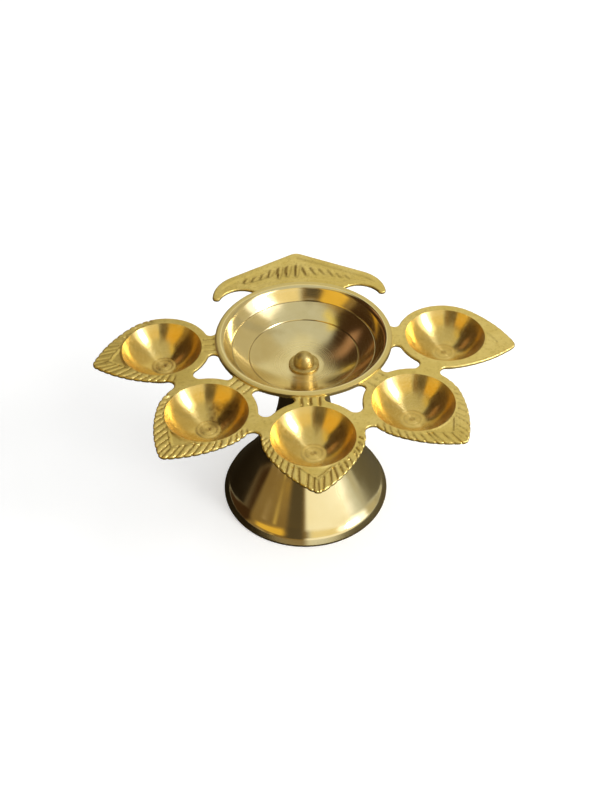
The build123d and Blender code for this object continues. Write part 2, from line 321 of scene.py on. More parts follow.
class Sheet:
    """A node tree with a short way to add and wire nodes."""

    def __init__(self, tree):
        self.tree = tree

    def add(self, kind, wires=None, **settings):
        """Adds a node; its inputs are wired to a socket or set to a value."""
        node = self.tree.nodes.new(kind)
        for name, value in settings.items():
            setattr(node, name, value)
        for key, value in (wires or {}).items():
            socket = node.inputs[key]
            if isinstance(value, bpy.types.NodeSocket):
                self.tree.links.new(value, socket)
            else:
                socket.default_value = value
        return node

    def math(self, operation, a, b=0.0, clamp=False):
        return self.add("ShaderNodeMath", {0: a, 1: b}, operation=operation, use_clamp=clamp).outputs[0]

    def vector(self, operation, a, b):
        key = 3 if operation == "SCALE" else 1
        return self.add("ShaderNodeVectorMath", {0: a, key: b}, operation=operation).outputs[0]

    def span(self, value, low, high, new_low, new_high):
        """Eased change from one range to another."""
        wires = {0: value, 1: low, 2: high, 3: new_low, 4: new_high}
        return self.add("ShaderNodeMapRange", wires, interpolation_type="SMOOTHSTEP").outputs[0]

    def blend(self, factor, a, b):
        return self.add("ShaderNodeMix", {0: factor, 6: a, 7: b}, data_type="RGBA").outputs[2]

    def noise(self, place, scale, detail=3.0, roughness=0.55):
        wires = {"Vector": place, "Scale": scale, "Detail": detail, "Roughness": roughness}
        return self.add("ShaderNodeTexNoise", wires).outputs["Fac"]


# Materials

def metal(name, colour, roughness, anisotropic=0.0):
    """Metal with constant values on its own sockets; returns the material, its sheet and its shader."""
    material = bpy.data.materials.new(name)
    material.use_nodes = True
    shader = material.node_tree.nodes["Principled BSDF"]
    shader.inputs["Base Color"].default_value = (*colour, 1)
    shader.inputs["Metallic"].default_value = 1.0
    shader.inputs["Roughness"].default_value = roughness
    shader.inputs["Anisotropic"].default_value = anisotropic
    return material, Sheet(material.node_tree), shader


def wire(sheet, socket, target):
    sheet.tree.links.new(socket, target)


def object_place(sheet):
    return sheet.add("ShaderNodeTexCoord").outputs["Object"]


def lathe_place(sheet, around, across):
    """Lathe coordinates of a turned face, stretched along and across the turning marks."""
    uv = sheet.add("ShaderNodeUVMap", uv_map="lathe").outputs["UV"]
    return sheet.add("ShaderNodeMapping", {"Vector": uv, "Scale": (around, across, 1)}).outputs["Vector"]


def turned_along(sheet, shader):
    """Lets the highlights stretch across the turning marks."""
    tangent = sheet.add("ShaderNodeTangent", direction_type="UV_MAP", uv_map="lathe").outputs["Tangent"]
    wire(sheet, tangent, shader.inputs["Tangent"])
    shader.inputs["Anisotropic Rotation"].default_value = 0.25


def bump(sheet, height, strength, distance, shader):
    wires = {"Strength": strength, "Distance": distance, "Height": height}
    wire(sheet, sheet.add("ShaderNodeBump", wires).outputs["Normal"], shader.inputs["Normal"])


def hollow_share(sheet):
    """How deep a spot lies in a carved or scribed line, from 0 to 1; the materials paint shade by it."""
    return sheet.add("ShaderNodeAttribute", attribute_name="hollow").outputs["Fac"]


def cast_brass():
    """Tumbled casting: pale and matte, with a fine sand grain and painted shade in its carved hollows."""
    material, sheet, shader = metal("cast brass", (0.79, 0.63, 0.26), 0.4)
    place = object_place(sheet)
    cloud = sheet.noise(place, 70, 5)
    speck = sheet.noise(place, 900, 4, 0.7)
    grain = sheet.noise(place, 3200, 3, 0.6)
    pale = sheet.blend(sheet.span(cloud, 0.35, 0.68, 0, 1), (0.79, 0.63, 0.22, 1), (0.9, 0.745, 0.32, 1))
    dull = sheet.blend(sheet.span(speck, 0.46, 0.74, 0, 0.62), pale, (0.58, 0.43, 0.13, 1))
    # Painted shade: the carved hollows are darkened towards dark brown by their depth
    groove_shade = sheet.math("MULTIPLY", hollow_share(sheet), 0.55, clamp=True)
    shaded_grooves = sheet.blend(groove_shade, dull, (0.24, 0.165, 0.05, 1))
    wire(sheet, shaded_grooves, shader.inputs["Base Color"])
    wire(sheet, sheet.span(grain, 0.35, 0.65, 0.3, 0.56), shader.inputs["Roughness"])
    height = sheet.math("ADD", sheet.math("MULTIPLY", grain, 0.55), speck)
    bump(sheet, height, 0.48, 0.00015, shader)
    return material


def oil_stain(sheet, place):
    """Ragged brown patch on the wall of one cup."""
    spot = cup_point(1, STAIN_OFFSET, LEAF_TOP - CUP_DEPTH * STAIN_DEPTH)
    gap = sheet.add("ShaderNodeVectorMath", {0: place, 1: spot}, operation="DISTANCE").outputs["Value"]
    mottle = sheet.noise(place, 700, 6, 0.75)
    ragged = sheet.math("ADD", gap, sheet.math("MULTIPLY", sheet.noise(place, 260, 4), 0.004))
    patch = sheet.span(ragged, 0.0055, 0.0082, 1, 0)
    return sheet.math("MULTIPLY", patch, sheet.span(mottle, 0.3, 0.62, 0.9, 0.4))


def turned_cup_brass():
    """Turned wick cup: golden, with tool rings that draw the highlights out into rays, painted shade in its
    rings and centre dimple, and a floor painted paler for a brighter reflection.
    """
    material, sheet, shader = metal("turned cup brass", (0.82, 0.6, 0.22), 0.28, 0.92)
    place = object_place(sheet)
    rings = sheet.noise(lathe_place(sheet, 1.5, 150), 1.0, 4, 0.7)
    haze = sheet.span(sheet.noise(place, 12000, 2), 0.53, 0.6, 0, 1)
    depth = sheet.add("ShaderNodeSeparateXYZ", {0: lathe_place(sheet, 1, 1)}).outputs["Y"]
    floor_share = sheet.span(depth, CUP_WALL_RUN * 0.92, CUP_WALL_RUN * 1.02, 0, 1)
    centre_share = sheet.span(depth, CUP_WALL_RUN * 1.24, CUP_WALL_RUN * 1.3, 0, 1)
    bright = sheet.blend(sheet.span(rings, 0.3, 0.75, 0, 1), (0.77, 0.55, 0.165, 1), (0.83, 0.62, 0.21, 1))
    gold = sheet.blend(haze, bright, (0.91, 0.75, 0.37, 1))
    lip_share = sheet.span(depth, 0, CUP_WALL_RUN * 0.34, 1, 0)
    wiped = sheet.blend(sheet.math("MULTIPLY", lip_share, 0.5), gold, (0.86, 0.73, 0.37, 1))
    drift = sheet.noise(place, 160, 4)
    warm = sheet.blend(sheet.span(drift, 0.5, 0.8, 0, 0.35), wiped, (0.7, 0.48, 0.15, 1))
    # Painted reflection: the flat floor is painted paler, standing in for its brighter reflection
    pale = sheet.blend(sheet.math("MULTIPLY", floor_share, 0.6), warm, (0.83, 0.65, 0.27, 1))
    # Painted shade: the centre dimple is darkened towards brown
    shaded_dimple = sheet.blend(sheet.math("MULTIPLY", centre_share, 0.5), pale, (0.42, 0.27, 0.08, 1))
    stain = oil_stain(sheet, place)
    # Painted shade: the turned rings are darkened by their depth
    line = sheet.math("MULTIPLY", hollow_share(sheet), 0.4, clamp=True)
    ringed = sheet.blend(line, shaded_dimple, (0.4, 0.25, 0.07, 1))
    stained = sheet.blend(stain, ringed, (0.22, 0.13, 0.045, 1))
    wire(sheet, stained, shader.inputs["Base Color"])
    dull_floor = sheet.math("MULTIPLY", floor_share, 0.1)
    dulled = sheet.math("ADD", dull_floor, sheet.math("MULTIPLY", lip_share, 0.1))
    worn = sheet.math("ADD", sheet.span(haze, 0, 1, 0.15, 0.4), dulled)
    wire(sheet, sheet.math("ADD", worn, sheet.math("MULTIPLY", stain, 0.15)), shader.inputs["Roughness"])
    turned_along(sheet, shader)
    bump(sheet, rings, 0.12, 0.00005, shader)
    return material


def polished_bowl_brass():
    """Buffed bowl: pale, with faint turning marks under a soft mirror and two scribed lines darkened with
    painted shade.
    """
    material, sheet, shader = metal("polished bowl brass", (0.85, 0.75, 0.5), 0.15, 0.35)
    rings = sheet.noise(lathe_place(sheet, 2.0, 90), 1.0, 4, 0.65)
    haze = sheet.noise(object_place(sheet), 120, 5)
    tone = sheet.blend(sheet.span(haze, 0.35, 0.7, 0, 1), (0.84, 0.72, 0.43, 1), (0.89, 0.78, 0.5, 1))
    # Painted shade: the scribed lines and the edge of the step are darkened by their depth
    line = sheet.math("MULTIPLY", hollow_share(sheet), 0.85, clamp=True)
    wire(sheet, sheet.blend(line, tone, (0.2, 0.15, 0.07, 1)), shader.inputs["Base Color"])
    flat = sheet.vector("MULTIPLY", object_place(sheet), (1, 1, 0))
    reach = sheet.add("ShaderNodeVectorMath", {0: flat}, operation="LENGTH").outputs["Value"]
    dull = sheet.span(reach, 0.008, 0.018, 0.14, 0)
    wire(sheet, sheet.math("ADD", sheet.span(rings, 0.3, 0.75, 0.12, 0.19), dull), shader.inputs["Roughness"])
    turned_along(sheet, shader)
    bump(sheet, rings, 0.025, 0.00005, shader)
    return material


def rim_brass():
    """Rim of the bowl, faced on the lathe and left satin."""
    material, sheet, shader = metal("faced rim brass", (0.76, 0.62, 0.29), 0.38, 0.3)
    rings = sheet.noise(lathe_place(sheet, 3.0, 240), 1.0, 4, 0.7)
    tone = sheet.blend(sheet.span(rings, 0.35, 0.7, 0, 1), (0.73, 0.59, 0.26, 1), (0.79, 0.66, 0.33, 1))
    wire(sheet, tone, shader.inputs["Base Color"])
    wire(sheet, sheet.span(rings, 0.3, 0.75, 0.3, 0.42), shader.inputs["Roughness"])
    turned_along(sheet, shader)
    bump(sheet, rings, 0.12, 0.00006, shader)
    return material


def mirror_bell_brass():
    """Spun bell, polished to a mirror with a few hairline rings."""
    material, sheet, shader = metal("mirror bell brass", (0.82, 0.72, 0.46), 0.12, 0.5)
    rings = sheet.noise(lathe_place(sheet, 2.0, 120), 1.0, 5, 0.7)
    smear = sheet.noise(object_place(sheet), 60, 5)
    tone = sheet.blend(sheet.span(smear, 0.35, 0.7, 0, 1), (0.79, 0.68, 0.41, 1), (0.84, 0.75, 0.5, 1))
    wire(sheet, tone, shader.inputs["Base Color"])
    wire(sheet, sheet.span(smear, 0.4, 0.75, 0.1, 0.17), shader.inputs["Roughness"])
    turned_along(sheet, shader)
    bump(sheet, rings, 0.05, 0.00005, shader)
    return material


def turned_hardware_brass():
    """Dome nut, its washer and the stud: turned brass with a light tarnish."""
    material, sheet, shader = metal("turned hardware brass", (0.6, 0.47, 0.2), 0.44, 0.2)
    place = object_place(sheet)
    rings = sheet.noise(lathe_place(sheet, 2.0, 400), 1.0, 4, 0.7)
    tarnish = sheet.noise(place, 500, 5)
    tone = sheet.blend(sheet.span(tarnish, 0.4, 0.75, 0, 1), (0.64, 0.51, 0.23, 1), (0.48, 0.35, 0.13, 1))
    wire(sheet, tone, shader.inputs["Base Color"])
    wire(sheet, sheet.span(tarnish, 0.35, 0.75, 0.38, 0.52), shader.inputs["Roughness"])
    turned_along(sheet, shader)
    bump(sheet, rings, 0.08, 0.00004, shader)
    return material


def zinc_steel():
    """Zinc plate on the nut and washers inside the bell."""
    material, sheet, shader = metal("zinc plated steel", (0.6, 0.61, 0.63), 0.34)
    place = object_place(sheet)
    spangle = sheet.add("ShaderNodeTexVoronoi", {"Vector": place, "Scale": 900.0}).outputs["Distance"]
    bloom = sheet.noise(place, 350, 5)
    tone = sheet.blend(sheet.span(bloom, 0.4, 0.7, 0, 1), (0.63, 0.64, 0.66, 1), (0.5, 0.49, 0.44, 1))
    wire(sheet, tone, shader.inputs["Base Color"])
    wire(sheet, sheet.span(bloom, 0.3, 0.75, 0.28, 0.48), shader.inputs["Roughness"])
    bump(sheet, spangle, 0.12, 0.00005, shader)
    return material


# Meshes

class Shell:
    """Points, faces, finishes and lathe coordinates of one mesh."""

    def __init__(self):
        self.points = []
        self.faces = []
        self.finishes = []
        self.lathe = []
        self.marked = []

    def add_points(self, points):
        """Adds points and returns their numbers."""
        start = len(self.points)
        self.points.extend(tuple(point) for point in points)
        return list(range(start, len(self.points)))

    def add_face(self, corners, finish, lathe=None):
        self.faces.append(corners)
        self.finishes.append(finish)
        self.lathe.append(lathe or [(0.0, 0.0)] * len(corners))

    def spin(self, profile, angles, centre=(0, 0), finish=0, first=None, last=None):
        """Skin through rings of radius and height; the outer ends may be rings that exist already."""
        rays = [(cos(radians(angle)), sin(radians(angle))) for angle in angles]
        rows = [first] if first else []
        for radius, height, *mark in profile:
            if radius == 0:
                rows.append(self.add_points([(centre[0], centre[1], height)]) * len(rays))
            else:
                ring = [(centre[0] + radius * x, centre[1] + radius * y, height) for x, y in rays]
                rows.append(self.add_points(ring))
            if mark:
                self.marked += rows[-1]
        if last:
            rows.append(last)
        travel = 0.0
        for low, high in zip(rows, rows[1:]):
            start = travel
            travel += hypot(*(a - b for a, b in zip(self.points[low[0]], self.points[high[0]]))) / LATHE_UNIT
            self.skin(low, high, start, travel, finish)
        return rows[0], rows[-1]

    def skin(self, low, high, start, end, finish):
        """Faces between two closed rings of equal count."""
        count = len(low)
        for j in range(count):
            k = (j + 1) % count
            u, w = j / count, (j + 1) / count
            corners = [low[j], low[k], high[k], high[j]]
            lathe = [(u, start), (w, start), (w, end), (u, end)]
            keep = [i for i in range(4) if corners[i] != corners[i - 1]]
            if len(keep) > 2:
                self.add_face([corners[i] for i in keep], finish, [lathe[i] for i in keep])

    def mesh(self, name):
        """Blender mesh in metres, with its finishes and lathe coordinates."""
        mesh = bpy.data.meshes.new(name)
        mesh.from_pydata((np.array(self.points) * MM).tolist(), [], self.faces)
        mesh.polygons.foreach_set("material_index", self.finishes)
        uv = mesh.uv_layers.new(name="lathe")
        uv.data.foreach_set("uv", np.array([pair for face in self.lathe for pair in face]).ravel())
        return mesh


def place_piece(mesh, name, materials):
    """Object for a finished mesh, with smooth faces and crisp corners."""
    for material in materials:
        mesh.materials.append(material)
    piece = bpy.data.objects.new(name, mesh)
    bpy.context.scene.collection.objects.link(piece)
    finish_faces(mesh)
    return piece


def finish_faces(mesh):
    mesh.shade_smooth()
    mesh.set_sharp_from_angle(angle=SMOOTH_ANGLE)


def even_angles(count):
    return [360 * k / count for k in range(count)]


def arc_profile(centre_height, ball_radius, start, end, count):
    """Lower half of a ball on the axis, as profile points from one radius to another."""
    radii = np.linspace(start, end, count)
    return [(radius, centre_height - sqrt(ball_radius ** 2 - radius ** 2)) for radius in radii]


def ball_height(upper, lower):
    """Height of the centre of the ball, on the axis, whose surface holds two profile points."""
    squares = upper[0] ** 2 - lower[0] ** 2 + upper[1] ** 2 - lower[1] ** 2
    return squares / (2 * (upper[1] - lower[1]))


# Plan of the casting

def ray(angle):
    return np.array((cos(radians(angle)), sin(radians(angle))))


def arc(centre, radius, start, end, outward=1):
    """Points of an arc without its last one, and the directions that point out of the plate."""
    count = max(1, ceil(abs(radians(end - start)) * radius / OUTLINE_STEP))
    rays = np.array([ray(angle) for angle in np.linspace(start, end, count, endpoint=False)])
    return np.asarray(centre) + radius * rays, outward * rays


def arc_between(centre, start, end, outward):
    """Arc about a centre by its end points, the short way round."""
    first = degrees(atan2(start[1] - centre[1], start[0] - centre[0]))
    swing = degrees(atan2(end[1] - centre[1], end[0] - centre[0])) - first
    swing = (swing + 180) % 360 - 180
    return arc(centre, hypot(start[0] - centre[0], start[1] - centre[1]), first, first + swing, outward)


def arc_through(start, middle, end, outward):
    """Arc through three points."""
    centre = circle_centre(start, middle, end)
    turns = [degrees(atan2(point[1] - centre[1], point[0] - centre[0])) for point in (start, middle, end)]
    swing = sum((b - a + 180) % 360 - 180 for a, b in zip(turns, turns[1:]))
    return arc(centre, hypot(start[0] - centre[0], start[1] - centre[1]), turns[0], turns[0] + swing, outward)


def straight(start, end):
    """Points of a straight run without its last one, and the directions to its right."""
    start, end = np.array(start), np.array(end)
    run = end - start
    count = max(1, ceil(hypot(*run) / OUTLINE_STEP))
    points = start + np.linspace(0, 1, count, endpoint=False)[:, None] * run
    return points, np.tile(np.array((run[1], -run[0])) / hypot(*run), (count, 1))


def circle_centre(a, b, c):
    """Centre of the circle through three points."""
    (ax, ay), (bx, by), (cx, cy) = a, b, c
    twice = 2 * (ax * (by - cy) + bx * (cy - ay) + cx * (ay - by))
    aa, bb, cc = ax * ax + ay * ay, bx * bx + by * by, cx * cx + cy * cy
    return ((aa * (by - cy) + bb * (cy - ay) + cc * (ay - by)) / twice,
            (aa * (cx - bx) + bb * (ax - cx) + cc * (bx - ax)) / twice)


def joined(stretches):
    """One loop from stretches of points and outward directions."""
    points, out = zip(*stretches)
    return np.concatenate(points), np.concatenate(out)


def bridge(radius_a, radius_b, distance, width):
    """Fillet of a strip that joins two discs: its radius, and its centre's angle seen from each disc."""
    half = width / 2
    square_a = radius_a ** 2 - half ** 2
    share = (radius_b - half) / (radius_a - half)
    total = distance ** 2 - radius_b ** 2 + half ** 2 + share * square_a
    along = total / (distance + sqrt(distance ** 2 - (1 - share) * total))
    fillet = (along ** 2 - square_a) / (2 * (radius_a - half))
    return fillet, degrees(atan2(half + fillet, along)), degrees(atan2(half + fillet, distance - along))


NECK_FILLET, NECK_RIM_ANGLE, NECK_LEAF_ANGLE = bridge(RIM_RADIUS, LEAF_RADIUS, LEAF_DISTANCE, NECK_WIDTH)
WEB_LENGTH = 2 * LEAF_DISTANCE * sin(radians(LEAF_SPACING / 2))
WEB_FILLET, WEB_ANGLE = bridge(LEAF_RADIUS, LEAF_RADIUS, WEB_LENGTH, WEB_WIDTH)[:2]
WEB_HEADING = 90 + LEAF_SPACING / 2

# Leaf border by the direction of its outward normal, from the tip to the back
TIP_X = LEAF_LENGTH - LEAF_TIP_RADIUS
BACK_REACH = LEAF_SIDE_RADIUS - LEAF_RADIUS
TIP_REACH = LEAF_SIDE_RADIUS - LEAF_TIP_RADIUS
SIDE_X = (TIP_X ** 2 + BACK_REACH ** 2 - TIP_REACH ** 2) / (2 * TIP_X)
SIDE_Y = sqrt(BACK_REACH ** 2 - SIDE_X ** 2)
TIP_ANGLE = degrees(atan2(SIDE_Y, TIP_X - SIDE_X))
BACK_ANGLE = degrees(atan2(SIDE_Y, -SIDE_X))
LEAF_STRETCHES = (
    ((TIP_X, 0), LEAF_TIP_RADIUS, 0, TIP_ANGLE),
    ((SIDE_X, -SIDE_Y), LEAF_SIDE_RADIUS, TIP_ANGLE, BACK_ANGLE),
    ((0, 0), LEAF_RADIUS, BACK_ANGLE, 180),
)


def leaf_frame(index):
    """Cup centre of a leaf and the matrix that turns its own axis, tip along +X, into the plan."""
    axis = ray(LEAF_HEADINGS[index] + LEAF_TURNS[index])
    return LEAF_DISTANCE * ray(LEAF_HEADINGS[index]), np.array(((axis[0], -axis[1]), (axis[1], axis[0])))


def cup_point(index, offset, height):
    """Point over a cup, by its offset from the cup's axis, in metres."""
    centre = LEAF_DISTANCE * ray(LEAF_HEADINGS[index])
    return ((centre[0] + offset[0]) * MM, (centre[1] + offset[1]) * MM, height * MM)


def leaf_border(start, end):
    """Leaf border between two normal directions, in the leaf's own frame."""
    stretches = []
    for centre, radius, low, high in reversed(LEAF_STRETCHES):
        if start < -low:
            stretches.append(arc((centre[0], -centre[1]), radius, max(start, -high), -low))
    for centre, radius, low, high in LEAF_STRETCHES:
        if end > low:
            stretches.append(arc(centre, radius, low, min(end, high)))
    return joined(stretches)


def leaf_outline(index, start, end):
    """Leaf border in the plan; start and end are directions from the leaf's heading."""
    centre, turn = leaf_frame(index)
    points, out = leaf_border(start - LEAF_TURNS[index], end - LEAF_TURNS[index])
    return centre + points @ turn.T, out @ turn.T


def neck_arc(index, side, to_leaf):
    """Fillet beside a neck, between the rim and the leaf."""
    heading = LEAF_HEADINGS[index]
    centre = (RIM_RADIUS + NECK_FILLET) * ray(heading + side * NECK_RIM_ANGLE)
    at_rim = heading + side * (NECK_RIM_ANGLE - 180)
    at_leaf = heading - side * NECK_LEAF_ANGLE
    ends = (at_rim, at_leaf) if to_leaf else (at_leaf, at_rim)
    return arc(centre, NECK_FILLET, *ends, outward=-1)


def web_arc(index, inner):
    """Fillet of the web from a leaf to the next, on its outer or inner side."""
    side = 1 if inner else -1
    across = LEAF_HEADINGS[index] + WEB_HEADING
    reach = (LEAF_RADIUS + WEB_FILLET) * ray(across + side * WEB_ANGLE)
    centre = LEAF_DISTANCE * ray(LEAF_HEADINGS[index]) + reach
    near = across + side * (WEB_ANGLE - 180)
    far = across - side * WEB_ANGLE
    ends = (far, near) if inner else (near, far)
    return arc(centre, WEB_FILLET, *ends, outward=-1)


def rim_arc(start, end):
    """Stretch of the rim along the bowl's own ring of points."""
    angles = [angle for angle in rim_angles() if start - 1e-9 <= angle < end - 1e-9]
    rays = np.array([ray(angle) for angle in angles])
    return RIM_RADIUS * rays, rays


def rim_corners():
    """Angles on the rim where necks and crest begin and end."""
    corners = [90 - WING_ROOT[0], 90 + WING_ROOT[0]]
    for heading in LEAF_HEADINGS:
        corners += [heading - NECK_RIM_ANGLE, heading + NECK_RIM_ANGLE]
    return corners


def rim_angles():
    """Angles of the bowl's points over two turns: even ones, with the corners in place of near ones."""
    step = 360 / RIM_SEGMENTS
    corners = [corner % 360 for corner in rim_corners()]
    even = [angle for angle in even_angles(RIM_SEGMENTS)
            if min(abs((angle - corner + 180) % 360 - 180) for corner in corners) > step / 3]
    turn = sorted(even + corners)
    return [angle - 360 for angle in turn] + turn


def crest_half():
    """Right half of the crest's outline from the rim up to the apex."""
    def wing(angle_rise):
        return (RIM_RADIUS + angle_rise[1]) * ray(90 - angle_rise[0])

    slope = radians(CREST_SLOPE)
    reach = RIM_RADIUS + CREST_RISE
    apex_centre = (0, reach - CREST_APEX_RADIUS)
    apex_end = (CREST_APEX_RADIUS * sin(slope), apex_centre[1] + CREST_APEX_RADIUS * cos(slope))
    shoulder = (CREST_SHOULDER, apex_end[1] - (CREST_SHOULDER - apex_end[0]) * tan(slope))
    places = (WING_SIDE, WING_TIP, WING_HEEL, WING_ARCH, WING_ROOT)
    side, tip, heel, arch, root = [wing(place) for place in places]
    chord = side - np.array(shoulder)
    inward = np.array((-sin(slope), -cos(slope)))
    droop_centre = np.array(shoulder) + inward * (chord @ chord) / (2 * chord @ inward)
    return joined([
        arc_through(root, arch, heel, -1),
        arc_through(heel, tip, side, 1),
        arc_between(droop_centre, side, shoulder, 1),
        straight(shoulder, apex_end),
        arc_between(apex_centre, apex_end, (0, reach), 1),
    ])


def crest_outline():
    """Crest from its right root over the apex to its left root."""
    points, out = crest_half()
    reach = (0, RIM_RADIUS + CREST_RISE)
    flip = np.array((-1, 1))
    left = np.concatenate([[reach], points[:0:-1] * flip])
    left_out = np.concatenate([[(0, 1)], out[:0:-1] * flip])
    return np.concatenate([points, left]), np.concatenate([out, left_out])


def plan_loops():
    """Outer outline of the plate, then the four pierced gaps, each as points and outward directions."""
    back = 180 - NECK_LEAF_ANGLE
    free = WEB_HEADING - WEB_ANGLE
    last = len(LEAF_HEADINGS) - 1
    outer = []
    for index in range(last + 1):
        start = -back if index == 0 else -free
        end = back if index == last else free
        outer.append(leaf_outline(index, start, end))
        if index < last:
            outer.append(web_arc(index, inner=False))
    outer.append(neck_arc(last, 1, to_leaf=False))
    outer.append(rim_arc(LEAF_HEADINGS[-1] + NECK_RIM_ANGLE, 90 - WING_ROOT[0]))
    outer.append(crest_outline())
    outer.append(rim_arc(90 + WING_ROOT[0], LEAF_HEADINGS[0] + 360 - NECK_RIM_ANGLE))
    outer.append(neck_arc(0, -1, to_leaf=True))
    loops = [joined(outer)]
    inner = WEB_HEADING + WEB_ANGLE
    for index in range(last):
        after = index + 1
        near, far = LEAF_HEADINGS[index], LEAF_HEADINGS[after]
        loops.append(joined([
            rim_arc(near + NECK_RIM_ANGLE, far - NECK_RIM_ANGLE),
            neck_arc(after, -1, to_leaf=True),
            arc(LEAF_DISTANCE * ray(far), LEAF_RADIUS, far - back, far - inner),
            web_arc(index, inner=True),
            arc(LEAF_DISTANCE * ray(near), LEAF_RADIUS, near + inner, near + back),
            neck_arc(index, 1, to_leaf=False),
        ]))
    return loops


def inside(points, loops):
    """Whether points lie inside the outer loop and outside the gaps, by counting crossings."""
    result = np.zeros(len(points), bool)
    for loop, out in loops:
        following = np.roll(loop, -1, axis=0)
        for (ax, ay), (bx, by) in zip(loop, following):
            rising = (ay > points[:, 1]) != (by > points[:, 1])
            if rising.any():
                cross = ax + (points[rising, 1] - ay) * (bx - ax) / (by - ay)
                result[rising] ^= points[rising, 0] < cross
    return result


def tree_of(points):
    """Search tree over points of the plan."""
    tree = KDTree(len(points))
    for index, point in enumerate(points):
        tree.insert((point[0], point[1], 0), index)
    tree.balance()
    return tree


def cup_centres():
    return [LEAF_DISTANCE * ray(heading) for heading in LEAF_HEADINGS]


def cup_reach(points):
    """Distance of each point from the nearest cup's axis."""
    return np.min([np.hypot(*(points - centre).T) for centre in cup_centres()], axis=0)


def ring_points(radius, angles, centre=(0, 0)):
    return np.array([np.asarray(centre) + radius * ray(angle) for angle in angles])


def plan_mesh(loops, under_bowl, under_cup):
    """Triangles of the plate in plan, between its outline and the inner edges of bowl and cups.

    Returns the points, the triangles and the points of each loop and ring by its name.
    """
    ring_angles = [angle for angle in rim_angles() if angle >= 0]
    cup_angles = even_angles(CUP_SEGMENTS)
    rings = {"rim": ring_points(RIM_RADIUS, ring_angles), "bowl": ring_points(under_bowl, ring_angles)}
    for index, centre in enumerate(cup_centres()):
        rings[f"lip{index}"] = ring_points(CUP_RADIUS, cup_angles, centre)
        rings[f"cup{index}"] = ring_points(under_cup, cup_angles, centre)
    points, edges, starts = [], [], {}
    for name, ring in [(f"loop{k}", loop) for k, (loop, out) in enumerate(loops)] + list(rings.items()):
        starts[name] = (len(points), len(ring))
        edges += [(len(points) + k, len(points) + (k + 1) % len(ring)) for k in range(len(ring))]
        points += ring.tolist()
    fixed = tree_of(points)
    border, outward = joined(loops)
    batches = [(border - offset * outward, offset * EDGE_SPREAD) for offset in EDGE_OFFSETS]
    low, high = border.min(axis=0), border.max(axis=0)
    rows = np.arange(low[1], high[1], GRID_STEP * sqrt(3) / 2)
    for k, y in enumerate(rows):
        x = np.arange(low[0] + (k % 2) * GRID_STEP / 2, high[0], GRID_STEP)
        batches.append((np.c_[x, np.full(len(x), y)], GRID_STEP * GRID_SPREAD))
    for batch, gap in batches:
        batch = batch[inside(batch, loops)]
        batch = batch[(np.hypot(*batch.T) > under_bowl) & (cup_reach(batch) > CUP_RADIUS)]
        points += [point.tolist() for point in batch if fixed.find((point[0], point[1], 0))[2] > gap]
    merged, _, corners, sources = delaunay_2d_cdt(points, edges, [], 0, MERGE_GAP)[:4]
    plan = np.array([tuple(point) for point in merged])
    where = {old: new for new, olds in enumerate(sources) for old in olds}
    triangles = np.array(corners)
    centres = plan[triangles].mean(axis=1)
    keep = inside(centres, loops) & (np.hypot(*centres.T) > under_bowl * cos(pi / RIM_SEGMENTS))
    keep &= cup_reach(centres) > CUP_RADIUS * cos(pi / CUP_SEGMENTS)
    named = {name: [where[start + k] for k in range(count)] for name, (start, count) in starts.items()}
    return plan, triangles[keep], named


def eased(value, low, high):
    """Smooth step from 0 at low to 1 at high."""
    t = np.clip((value - low) / (high - low), 0, 1)
    return t * t * (3 - 2 * t)


def rounded_drop(distance, radius):
    """How far a rounded edge lies below its face, by the distance from the outline."""
    inset = radius - np.minimum(distance, radius)
    return radius - np.sqrt(radius ** 2 - inset ** 2)


